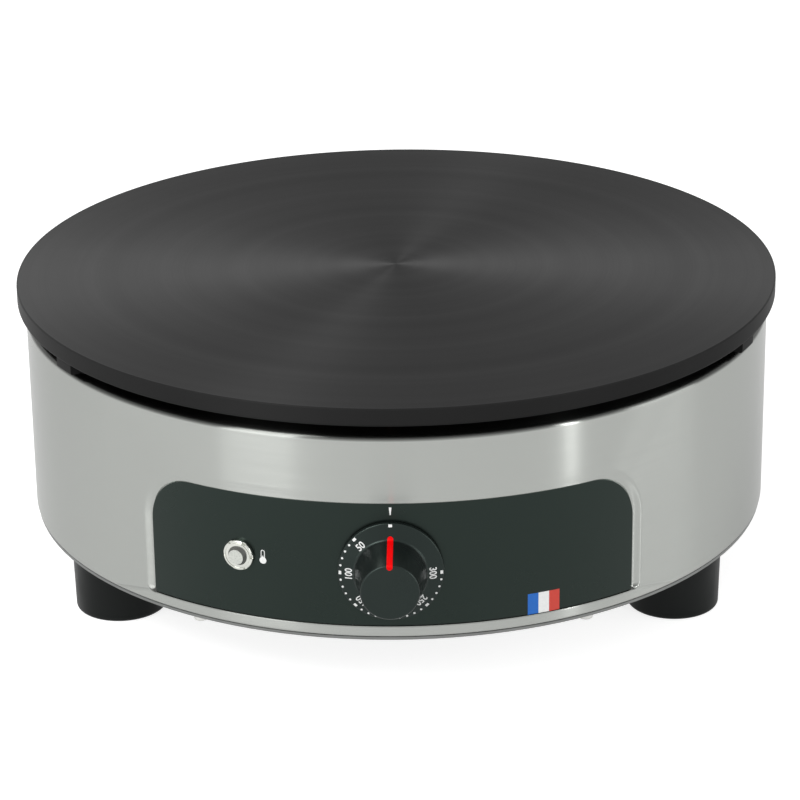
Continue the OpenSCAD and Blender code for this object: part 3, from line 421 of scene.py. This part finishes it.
def skirt_depth(r):
    """Depth of the knob's skirt in front of its back face."""
    slope = (SKIRT_EDGE_T - SKIRT_ROOT_T) / (SKIRT_R - SKIRT_ROOT_R)
    return SKIRT_ROOT_T + slope * (r - SKIRT_ROOT_R)


def knob_face():
    """(radius, depth) along the knob's front side, from the skirt's edge to the middle."""
    return rounded(
        [(SKIRT_R, 0), (SKIRT_R, SKIRT_EDGE_T), (GRIP_ROOT_R, skirt_depth(GRIP_ROOT_R)),
         (GRIP_FRONT_R, KNOB_L), (AXIS_R, KNOB_L)],
        [0, 0.8 * MM, 1.8 * MM, 1.1 * MM, 0], steps=8)


def make_knob(finish):
    """Skirt, tapered grip and the hollow behind them, with the hub round the spindle."""
    bm = bmesh.new()
    hub_r, bore_r, hollow_r, draft = 5.5 * MM, 3.05 * MM, 12.4 * MM, 0.8 * MM
    hub_start, bore_end, roof = 2 * MM, KNOB_L - 4 * MM, KNOB_L - 2.4 * MM
    hollow = [(AXIS_R, bore_end), (bore_r, bore_end), (bore_r, hub_start), (hub_r, hub_start),
              (hub_r, roof), (hollow_r - draft, roof), (hollow_r, 0)]
    place = Matrix.Translation((0, KNOB_BACK_Y, KNOB_Z)) @ Matrix.Rotation(math.pi / 2, 4, "X")
    turned(bm, knob_face() + [Vector(point) for point in hollow], steps=160, place=place)
    return add_piece(bm, "knob_moulding", finish, DIAL, ["knob"])


def make_pointer(finish):
    """Red strip that follows the skirt, the grip and the front face, with round ends."""
    path = [p for p in knob_face() if p.x > POINTER_END]
    while path[1].x > POINTER_START:
        path.pop(0)
    path[0] = Vector((POINTER_START, skirt_depth(POINTER_START)))
    path.append(Vector((POINTER_END, KNOB_L)))
    lengths = [0.0]
    for here, on in zip(path, path[1:]):
        lengths.append(lengths[-1] + (on - here).length)
    left = [(-1, -POINTER_SUNK), (-1, POINTER_PROUD / 2), (-POINTER_SHOULDER, POINTER_PROUD)]
    profile = left + [(-across, height) for across, height in reversed(left)]
    rows = []
    steps = 72
    for i in range(steps + 1):
        u = lengths[-1] * smooth_step(i / steps)
        k = max(j for j in range(len(path) - 1) if lengths[j] <= u)
        along = (path[k + 1] - path[k]).normalized()
        middle = path[k] + along * (u - lengths[k])
        out = Vector((along.y, -along.x))
        end = min(u, lengths[-1] - u, POINTER_HALF) / POINTER_HALF
        half = max(POINTER_HALF * math.sqrt(1 - (1 - end) ** 2), AXIS_R)
        row = []
        for across, height in profile:
            r, depth = middle + out * height
            x = across * half
            row.append(Vector((x, KNOB_BACK_Y - depth, KNOB_Z + math.sqrt(r * r - x * x))))
        rows.append(row)
    bm = bmesh.new()
    verts = add_quads(bm, rows, closed=True)
    bm.faces.new(verts[0])
    bm.faces.new(verts[-1])
    return add_piece(
        bm, "pointer_strip", finish, DIAL, ["knob_pointer"], weld=1e-9)


# ---------- Prints: flat shapes laid on a curved face as thin solids ----------

def disc_shape(x, y, r, steps=24):
    points = [(x + r * math.cos(2 * math.pi * i / steps), y + r * math.sin(2 * math.pi * i / steps))
              for i in range(steps)]
    return points, [list(range(steps))]


def polygon_shape(points):
    return points, [list(range(len(points)))]


def strip_shape(x0, x1, y0, y1, steps=8):
    """Rectangle cut into columns, so that it can follow a curve."""
    points = []
    for i in range(steps + 1):
        x = x0 + (x1 - x0) * i / steps
        points += [(x, y0), (x, y1)]
    return points, [[2 * i, 2 * i + 2, 2 * i + 3, 2 * i + 1] for i in range(steps)]


def number_shape(words, height):
    """Outline of a number, centred, from Blender's own plain font."""
    curve = bpy.data.curves.new("number", "FONT")
    curve.body = words
    curve.offset = DIGIT_WEIGHT
    maker = bpy.data.objects.new("number", curve)
    bpy.context.scene.collection.objects.link(maker)
    bpy.context.view_layer.update()
    graph = bpy.context.evaluated_depsgraph_get()
    mesh = bpy.data.meshes.new_from_object(maker.evaluated_get(graph))
    xs = [v.co.x for v in mesh.vertices]
    ys = [v.co.y for v in mesh.vertices]
    middle_x, middle_y = (min(xs) + max(xs)) / 2, (min(ys) + max(ys)) / 2
    scale = height / (max(ys) - min(ys))
    points = [((v.co.x - middle_x) * scale * DIGIT_SQUEEZE, (v.co.y - middle_y) * scale)
              for v in mesh.vertices]
    faces = [list(p.vertices) for p in mesh.polygons]
    bpy.data.objects.remove(maker)
    bpy.data.curves.remove(curve)
    bpy.data.meshes.remove(mesh)
    return points, faces


def moved_shape(shape, angle=0.0, x=0.0, y=0.0):
    """A shape turned anticlockwise by an angle in radians, then moved."""
    points, faces = shape
    c, s = math.cos(angle), math.sin(angle)
    return [(px * c - py * s + x, px * s + py * c + y) for px, py in points], faces


def make_print(name, shapes, place, finish, body, proud=0.05 * MM, sunk=0.12 * MM):
    """Thin solids of flat shapes. place(x, y, height) puts a point over the face they lie on."""
    bm = bmesh.new()
    for points, faces in shapes:
        levels = [[bm.verts.new(place(x, y, h)) for x, y in points] for h in (proud, -sunk)]
        sides = {}
        for face in faces:
            bm.faces.new([levels[0][i] for i in face])
            bm.faces.new([levels[1][i] for i in reversed(face)])
            for a, b in zip(face, face[1:] + face[:1]):
                sides[(a, b)] = True
        for a, b in sides:
            if (b, a) not in sides:
                bm.faces.new((levels[0][a], levels[1][a], levels[1][b], levels[0][b]))
    return add_piece(bm, name, finish, body, smooth_angle=30, weld=1e-8)


def on_skirt(x, y, height):
    """Point over the knob's skirt. x and y are taken from the knob's axis, seen from the front."""
    return Vector((x, KNOB_BACK_Y - skirt_depth(math.hypot(x, y)) - height, KNOB_Z + y))


def on_panel(x, y, height):
    """Point over the panel. x is the length along the drum and y the height above the table."""
    return wrapped(x, y, PANEL_OUT_R + height)


def make_dial_marks(finish):
    """The scale printed on the skirt: a square at off and at each number, dots between."""
    step = 45                # degrees from one number to the next
    dots = 4                 # between two numbers
    dot_r = 0.56 * MM
    half_w, half_h = 0.9 * MM, 0.65 * MM
    shapes = []
    for k in range(7):
        angle = math.radians(90 + k * step)
        mark = strip_shape(-half_w, half_w, -half_h, half_h, 2)
        shapes.append(moved_shape(
            mark, angle - math.pi / 2, MARK_R * math.cos(angle), MARK_R * math.sin(angle)))
        if 0 < k < 6:
            for i in range(1, dots + 1):
                a = math.radians(90 + (k + i / (dots + 1)) * step)
                shapes.append(disc_shape(MARK_R * math.cos(a), MARK_R * math.sin(a), dot_r, 16))
        if k > 0:
            number = number_shape(str(50 * k), DIGIT_H)
            shapes.append(moved_shape(
                number, angle - math.pi / 2, DIGIT_R * math.cos(angle), DIGIT_R * math.sin(angle)))
    return make_print("dial_scale", shapes, on_skirt, finish, DIAL)


def make_panel_prints(white, blue, red):
    """Index mark over the knob, thermometer sign by the lamp, three stripes at the lower edge."""
    tip_half, tip_z, wide_half, wide_z = 0.25 * MM, 100.4 * MM, 0.65 * MM, 104.4 * MM
    index = polygon_shape([(-tip_half, tip_z), (tip_half, tip_z),
                           (wide_half, wide_z), (-wide_half, wide_z)])
    make_print("index_mark", [index], on_panel, white, BODY)
    sign_x, bulb_y, bulb_r = -63.8 * MM, 71.9 * MM, 1.8 * MM
    stem, line, top_y = 1.05 * MM, 0.38 * MM, 76.4 * MM
    column, column_y = 0.28 * MM, 74.4 * MM
    low = bulb_y + 1.2 * MM
    outer_line, inner_line = [
        [(sign_x + r, low)] + [tuple(p) for p in arc((sign_x, top_y), r, 0, 180, 12)]
        + [(sign_x - r, low)] for r in (stem, stem - line)]
    count = len(outer_line)
    stem_shape = (outer_line + inner_line,
                  [[i, i + 1, count + i + 1, count + i] for i in range(count - 1)])
    fluid = strip_shape(sign_x - column, sign_x + column, bulb_y, column_y, 1)
    shapes = [disc_shape(sign_x, bulb_y, bulb_r), stem_shape, fluid]
    make_print("thermometer_sign", shapes, on_panel, white, BODY)
    left, width, low, high = 67.95 * MM, 5.65 * MM, PANEL_Z0 + 0.1 * MM, 52.3 * MM
    for i, (name, finish) in enumerate((("left", blue), ("middle", white), ("right", red))):
        stripe = strip_shape(left + i * width, left + (i + 1) * width, low, high, 4)
        make_print(
            "stripe_" + name, [stripe], on_panel, finish, BODY, proud=0.03 * MM)


# ---------- Finishes ----------

def add_node(tree, kind, inputs=(), **settings):
    """A shader node. Each input is linked where a socket is given, and set where a value is."""
    made = tree.nodes.new("ShaderNode" + kind)
    for key, value in settings.items():
        setattr(made, key, value)
    for key, value in dict(inputs).items():
        if isinstance(value, bpy.types.NodeSocket):
            tree.links.new(value, made.inputs[key])
        else:
            made.inputs[key].default_value = value
    return made


class Finish:
    """A material: one Principled shader and the nodes that vary it."""

    def __init__(self, name, colour, roughness, metallic=0.0, **constants):
        self.material = bpy.data.materials.new(name)
        self.material.use_nodes = True
        self.tree = self.material.node_tree
        self.shader = self.tree.nodes["Principled BSDF"]
        self.shader.inputs["Base Color"].default_value = (*colour, 1.0)
        self.shader.inputs["Roughness"].default_value = roughness
        self.shader.inputs["Metallic"].default_value = metallic
        for key, value in constants.items():
            socket = key.replace("_", " ").title().replace("Ior", "IOR")
            self.shader.inputs[socket].default_value = value
        self.colour = colour

    def node(self, kind, inputs=(), **settings):
        return add_node(self.tree, kind, inputs, **settings)

    def combine(self, operation, first, second):
        return self.node("Math", {0: first, 1: second}, operation=operation).outputs[0]

    def feed(self, socket, value):
        """Links a value to one of the shader's inputs."""
        self.tree.links.new(value, self.shader.inputs[socket])

    def place(self, stretch=(1, 1, 1)):
        """Object coordinates in metres, times a stretch."""
        coords = self.node("TexCoord").outputs["Object"]
        return self.node("VectorMath", {0: coords, 1: stretch}, operation="MULTIPLY").outputs[0]

    def radius(self, scale):
        """Distance from the Z axis times a scale, as a vector for a one-way pattern."""
        flat = self.place((scale, scale, 0))
        length = self.node("VectorMath", {0: flat}, operation="LENGTH").outputs["Value"]
        return self.node("CombineXYZ", {"X": length}).outputs[0]

    def upward(self):
        """1 where the face looks straight up, 0 where it is upright."""
        normal = self.node("NewGeometry").outputs["Normal"]
        return self.node("SeparateXYZ", {0: normal}).outputs["Z"]

    def outward(self):
        """1 where the face looks straight away from the Z axis, 0 where it looks along it."""
        flat = self.node("VectorMath", {0: self.place((1, 1, 0))}, operation="NORMALIZE").outputs[0]
        normal = self.node("NewGeometry").outputs["Normal"]
        share = self.node("VectorMath", {0: flat, 1: normal}, operation="DOT_PRODUCT")
        return share.outputs["Value"]

    def noise(self, vector, detail):
        """Noise about one unit across, spread over 0 to 1."""
        made = self.node("TexNoise", {"Vector": vector, "Scale": 1.0, "Detail": detail,
                                      "Roughness": 0.55})
        return self.spread(made.outputs[0], 0.3, 0.7, 0.0, 1.0)

    def spread(self, value, from_low, from_high, low, high):
        return self.node("MapRange", {"Value": value, "From Min": from_low, "From Max": from_high,
                                      "To Min": low, "To Max": high}).outputs[0]

    def vary_roughness(self, value, low, high):
        self.feed("Roughness", self.spread(value, 0, 1, low, high))

    def vary_colour(self, value, low, high):
        """Mixes the colour between itself times low and itself times high."""
        ends = [(*[c * k for c in self.colour], 1.0) for k in (low, high)]
        mix = self.node("Mix", {0: value, 6: ends[0], 7: ends[1]}, data_type="RGBA")
        self.feed("Base Color", mix.outputs[2])

    def scale_colour(self, factor):
        """Multiplies the colour by a factor."""
        scaled = self.node("VectorMath", {0: self.colour, "Scale": factor}, operation="SCALE")
        self.feed("Base Color", scaled.outputs[0])

    def bump(self, height, strength, distance):
        made = self.node("Bump", {"Height": height, "Strength": strength, "Distance": distance})
        self.feed("Normal", made.outputs[0])

    def turned_grain(self, amount):
        """Anisotropic gloss across lines that run round the Z axis."""
        self.feed("Tangent", self.node("Tangent", direction_type="RADIAL", axis="Z").outputs[0])
        self.shader.inputs["Anisotropic"].default_value = amount
        self.shader.inputs["Anisotropic Rotation"].default_value = 0.25


def brushed_steel():
    """Stainless sheet, brushed round the drum, with painted shade where it looks up under the
    plate.
    """
    f = Finish("brushed_stainless", (0.378, 0.390, 0.371), 0.25, metallic=1.0,
               specular_tint=(0.82, 0.82, 0.82, 1.0))
    fine = f.noise(f.place((40, 40, 5200)), detail=2)
    long = f.noise(f.place((9, 9, 1500)), detail=3)
    lines = f.spread(f.combine("ADD", fine, long), 0, 2, 0, 1)
    # Painted shade: the colour falls to 0.22 of itself where the sheet looks up, on the rim and the
    # flange under the plate.
    painted_shade_under_plate = f.spread(f.upward(), 0.05, 0.55, 1, 0.22)
    f.scale_colour(f.combine("MULTIPLY", f.spread(lines, 0, 1, 0.97, 1.03), painted_shade_under_plate))
    f.vary_roughness(lines, 0.19, 0.24)
    f.bump(fine, 0.05, 0.02 * MM)
    f.turned_grain(1.0)
    return f.material


def seasoned_iron():
    """Cast iron with a finely turned, seasoned top, its gloss graded across it as painted sheen,
    and a plainer, darker edge.
    """
    f = Finish("seasoned_iron", (0.018, 0.018, 0.018), 0.55)
    place = f.node("SeparateXYZ", {0: f.place()})
    # Painted sheen: the gloss is graded in fixed directions across the plate, more on its left and
    # towards its back.
    across = f.spread(place.outputs["X"], -0.2, 0.2, 0.225, 0.135)
    along = f.spread(place.outputs["Y"], -0.2, 0.2, 0.88, 1.11)
    gloss = f.combine("MULTIPLY", across, along)
    rings = f.noise(f.radius(900), detail=4)
    broad = f.noise(f.radius(70), detail=2)
    patches = f.noise(f.place((14, 14, 14)), detail=5)
    grain = f.noise(f.place((500, 500, 500)), detail=4)
    flat = f.spread(f.upward(), 0.9, 0.98, 0, 1)
    marks = f.spread(f.combine("ADD", rings, broad), 0, 2, 0.86, 1.14)
    level = f.node("Mix", {0: flat, 2: 0.45, 3: marks}).outputs[0]
    f.feed("Specular IOR Level", f.combine("MULTIPLY", gloss, level))
    worn = f.spread(f.combine("ADD", broad, patches), 0, 2, 0.75, 1.3)
    f.scale_colour(f.node("Mix", {0: flat, 2: 0.85, 3: worn}).outputs[0])
    f.vary_roughness(f.spread(f.combine("ADD", rings, patches), 0, 2, 0, 1), 0.5, 0.62)
    height = f.node("Mix", {0: flat, 2: grain, 3: rings}).outputs[0]
    f.bump(height, 0.06, 0.03 * MM)
    f.turned_grain(0.9)
    return f.material


def moulded_finish(name, colour, roughness, grain=700, depth=0.02, spread=0.08, **constants):
    """Moulded plastic or rubber with a fine grain, as a finish that can still be changed."""
    f = Finish(name, colour, roughness, **constants)
    fine = f.noise(f.place((grain, grain, grain)), detail=3)
    cloud = f.noise(f.place((35, 35, 35)), detail=3)
    f.vary_roughness(cloud, roughness - spread, roughness + spread)
    f.vary_colour(cloud, 0.9, 1.1)
    f.bump(fine, 0.2, depth * MM)
    return f


def moulded(*args, **settings):
    return moulded_finish(*args, **settings).material


def panel_film():
    """Satin film on a thin plate whose cut edge stays bare."""
    f = moulded_finish(
        "panel_film", (0.0035, 0.005, 0.0045), 0.3, grain=1500, depth=0.004, spread=0.04,
        specular_ior_level=0.34, specular_tint=(0.74, 1.0, 0.88, 1.0))
    metal = (0.62, 0.63, 0.61, 1)
    bare = f.spread(f.outward(), 0.6, 0.85, 1, 0)
    f.feed("Metallic", bare)
    mixed = f.node("Mix", {0: bare, 6: (*f.colour, 1), 7: metal}, data_type="RGBA")
    f.feed("Base Color", mixed.outputs[2])
    return f.material


def plain_metal(name, colour, roughness, grain=400, spread=0.07):
    """Plated, drawn or heat-tinted metal with a slight mottle."""
    f = Finish(name, colour, roughness, metallic=1.0)
    cloud = f.noise(f.place((60, 60, 60)), detail=5)
    fine = f.noise(f.place((grain, grain, grain)), detail=2)
    f.vary_colour(cloud, 0.88, 1.1)
    f.vary_roughness(cloud, roughness - spread, roughness + spread)
    f.bump(fine, 0.1, 0.02 * MM)
    return f.material


def printed(name, colour):
    """Screen ink, slightly uneven."""
    f = Finish(name, colour, 0.5)
    cloud = f.noise(f.place((900, 900, 900)), detail=2)
    f.vary_colour(cloud, 0.96, 1.02)
    f.vary_roughness(cloud, 0.42, 0.58)
    return f.material


def frosted_lens():
    """Milky plastic with a pattern of cells, and painted shade on the sides that stand out of the
    bezel.
    """
    f = Finish("frosted_lens", (0.66, 0.68, 0.63), 0.35,
               transmission_weight=0.2, specular_ior_level=0.4)
    cells = f.node("TexVoronoi", {"Vector": f.place((1100, 1100, 1100)), "Scale": 1.0}).outputs[0]
    # Painted shade: the colour falls to 0.16 of itself where the lens's face turns away from
    # straight out.
    side = f.spread(f.outward(), 0.5, 0.9, 0.16, 1)
    f.scale_colour(f.combine("MULTIPLY", f.spread(cells, 0, 0.7, 0.85, 1.08), side))
    f.vary_roughness(f.spread(cells, 0, 0.7, 0, 1), 0.25, 0.45)
    f.bump(cells, 0.5, 0.15 * MM)
    return f.material


SLOT_FINISHES = {
    "cast_iron": seasoned_iron,
    "element_sheath": lambda: plain_metal("tinted_sheath", (0.24, 0.20, 0.16), 0.45),
    "ceramic": lambda: moulded("steatite", (0.74, 0.71, 0.64), 0.6, grain=500, depth=0.04),
    "plated_steel": lambda: plain_metal("zinc_plated", (0.62, 0.62, 0.60), 0.32),
    "insulation": lambda: moulded("ceramic_wool", (0.82, 0.80, 0.75), 0.9, grain=250, depth=0.6,
                                  spread=0.05),
    "dark_steel": lambda: plain_metal("heat_dark_steel", (0.10, 0.095, 0.09), 0.5),
    "stainless": brushed_steel,
    "panel_film": panel_film,
    "knob_plastic": lambda: moulded("knob_satin", (0.0055, 0.0075, 0.0070), 0.28, grain=1100,
                                    depth=0.008, spread=0.04, specular_ior_level=0.32,
                                    specular_tint=(0.78, 1.0, 0.92, 1.0)),
    "pointer_red": lambda: moulded("pointer_red", (0.74, 0.0, 0.001), 0.35, grain=500, depth=0.005,
                                   specular_ior_level=0.12),
    "brass": lambda: plain_metal("brass", (0.72, 0.55, 0.28), 0.3),
    "copper": lambda: plain_metal("copper", (0.72, 0.40, 0.27), 0.35),
    "bezel_chrome": lambda: plain_metal("bezel_chrome", (0.58, 0.59, 0.55), 0.14, spread=0.03),
    "lens_clear": frosted_lens,
    "lamp_plastic": lambda: moulded("lamp_plastic", (0.72, 0.72, 0.68), 0.45),
    "base_steel": lambda: plain_metal("galvanised", (0.20, 0.205, 0.20), 0.42, grain=120),
    "foot_rubber": lambda: moulded("foot_rubber", (0.0025, 0.0037, 0.0034), 0.42, grain=600,
                                   specular_ior_level=0.17),
    "gland_nylon": lambda: moulded("gland_nylon", (0.02, 0.02, 0.021), 0.4, grain=900),
    "seal_rubber": lambda: moulded("seal_rubber", (0.03, 0.03, 0.03), 0.6),
    "wire_brown": lambda: moulded("wire_brown", (0.18, 0.07, 0.03), 0.4),
    "wire_red": lambda: moulded("wire_red", (0.45, 0.03, 0.02), 0.4),
    "wire_blue": lambda: moulded("wire_blue", (0.03, 0.07, 0.35), 0.4),
    "wire_green": lambda: moulded("wire_green", (0.13, 0.38, 0.05), 0.4),
}


def dress_frame():
    """Gives every CAD node the finish of its slot, and returns the finishes by slot."""
    finishes = {slot: build() for slot, build in SLOT_FINISHES.items()}
    for row in frame["record"]["subparts"]:
        piece = frame["nodes"][row["node"]]
        piece.data.materials.clear()
        piece.data.materials.append(finishes[row["material_slot"]])
    return finishes


# ---------- Stage, light and camera ----------

STUDIO_LEVEL = 0.6        # of the light from all round, where white is 1
FLOOR_GLOW = 0.55         # of the floor, seen directly or in a reflection
FLOOR_VIEW_GLOW = 0.25    # what the camera sees on top of that
LIGHTS = (
    # name, azimuth and elevation in degrees, distance, width, height, power in watts
    ("key_left", -38, 14, 1.6, 0.60, 0.9, 4.3),
    ("key_high", -40, 45, 1.6, 0.50, 0.8, 13),
    ("strip_right", 49.8, 14, 1.6, 0.10, 0.9, 3.7),
    ("wide_right", 82, 14, 1.7, 0.75, 0.9, 3.8),
)


def seen_directly(tree):
    """1 for camera, glossy and transmission rays, which see the white background."""
    path = add_node(tree, "LightPath").outputs
    total = path["Is Camera Ray"]
    for name in ("Is Glossy Ray", "Is Transmission Ray"):
        total = add_node(tree, "Math", {0: total, 1: path[name]}, operation="MAXIMUM").outputs[0]
    return total


def make_world(strength):
    world = bpy.data.worlds.new("studio")
    world.use_nodes = True
    tree = world.node_tree
    back = tree.nodes["Background"]
    back.inputs["Color"].default_value = (1, 1, 1, 1)
    level = add_node(tree, "MapRange", {"Value": seen_directly(tree), "To Min": strength,
                                        "To Max": 1.0})
    tree.links.new(level.outputs[0], back.inputs["Strength"])
    bpy.context.scene.world = world


def make_floor():
    mesh = bpy.data.meshes.new("floor")
    size = 8.0
    corners = [(-size, -size, 0), (size, -size, 0), (size, size, 0), (-size, size, 0)]
    mesh.from_pydata(corners, [], [(0, 1, 2, 3)])
    floor = bpy.data.objects.new("floor", mesh)
    bpy.context.scene.collection.objects.link(floor)
    mat = bpy.data.materials.new("pale_floor")
    mat.use_nodes = True
    tree = mat.node_tree
    shader = tree.nodes["Principled BSDF"]
    shader.inputs["Base Color"].default_value = (0.55, 0.55, 0.55, 1)
    shader.inputs["Roughness"].default_value = 1.0
    shader.inputs["Specular IOR Level"].default_value = 0.0
    shader.inputs["Emission Color"].default_value = (1, 1, 1, 1)
    in_view = add_node(tree, "LightPath").outputs["Is Camera Ray"]
    base = add_node(tree, "Math", {0: seen_directly(tree), 1: FLOOR_GLOW}, operation="MULTIPLY")
    glow = add_node(tree, "Math", {0: in_view, 1: FLOOR_VIEW_GLOW, 2: base.outputs[0]},
                    operation="MULTIPLY_ADD")
    tree.links.new(glow.outputs[0], shader.inputs["Emission Strength"])
    mesh.materials.append(mat)


def toward_viewer(azimuth, elevation):
    """Unit vector from the object to a viewer at these angles, in degrees."""
    a, e = math.radians(azimuth), math.radians(elevation)
    return Vector((math.sin(a) * math.cos(e), -math.cos(a) * math.cos(e), math.sin(e)))


def make_light(name, azimuth, elevation, distance, width, height, power):
    """Soft panel that looks at the middle of the object."""
    target = Vector((0, 0, 0.09))
    back = toward_viewer(azimuth, elevation)
    data = bpy.data.lights.new(name, "AREA")
    data.shape = "RECTANGLE"
    data.size, data.size_y = width, height
    data.energy = power
    light = bpy.data.objects.new(name, data)
    light.location = target + back * distance
    light.rotation_mode = "QUATERNION"
    light.rotation_quaternion = (-back).to_track_quat("-Z", "Y")
    bpy.context.scene.collection.objects.link(light)


def make_camera():
    """The photograph's camera: a long lens a little to the right of the front, looking down."""
    back, roll, distance = toward_viewer(1.25, 22.29), math.radians(0.765), 1.7325
    target = Vector((0.0012, 0.0, 0.0800))
    data = bpy.data.cameras.new("camera")
    data.lens = 144.7
    data.sensor_width = 36.0
    data.clip_start, data.clip_end = 0.05, 50.0
    camera = bpy.data.objects.new("camera", data)
    look = (-back).to_track_quat("-Z", "Y").to_matrix()
    camera.matrix_world = Matrix.Translation(target + back * distance) @ (
        look @ Matrix.Rotation(-roll, 3, "Z")).to_4x4()
    bpy.context.scene.collection.objects.link(camera)
    bpy.context.scene.camera = camera


# ---------- The scene ----------

make_camera()
make_world(STUDIO_LEVEL)
make_floor()
for light in LIGHTS:
    make_light(*light)

finishes = dress_frame()
make_drum(finishes["stainless"])
make_panel(finishes["panel_film"])
make_plate(finishes["cast_iron"])
make_knob(finishes["knob_plastic"])
make_pointer(finishes["pointer_red"])
white_ink = printed("white_ink", (0.82, 0.83, 0.82))
make_dial_marks(white_ink)
blue_ink = printed("blue_ink", (0.004, 0.12, 0.48))
red_ink = printed("red_ink", (0.57, 0.045, 0.028))
make_panel_prints(white_ink, blue_ink, red_ink)

scene = bpy.context.scene
scene.view_settings.view_transform = "Standard"
scene.cycles.use_denoising = True
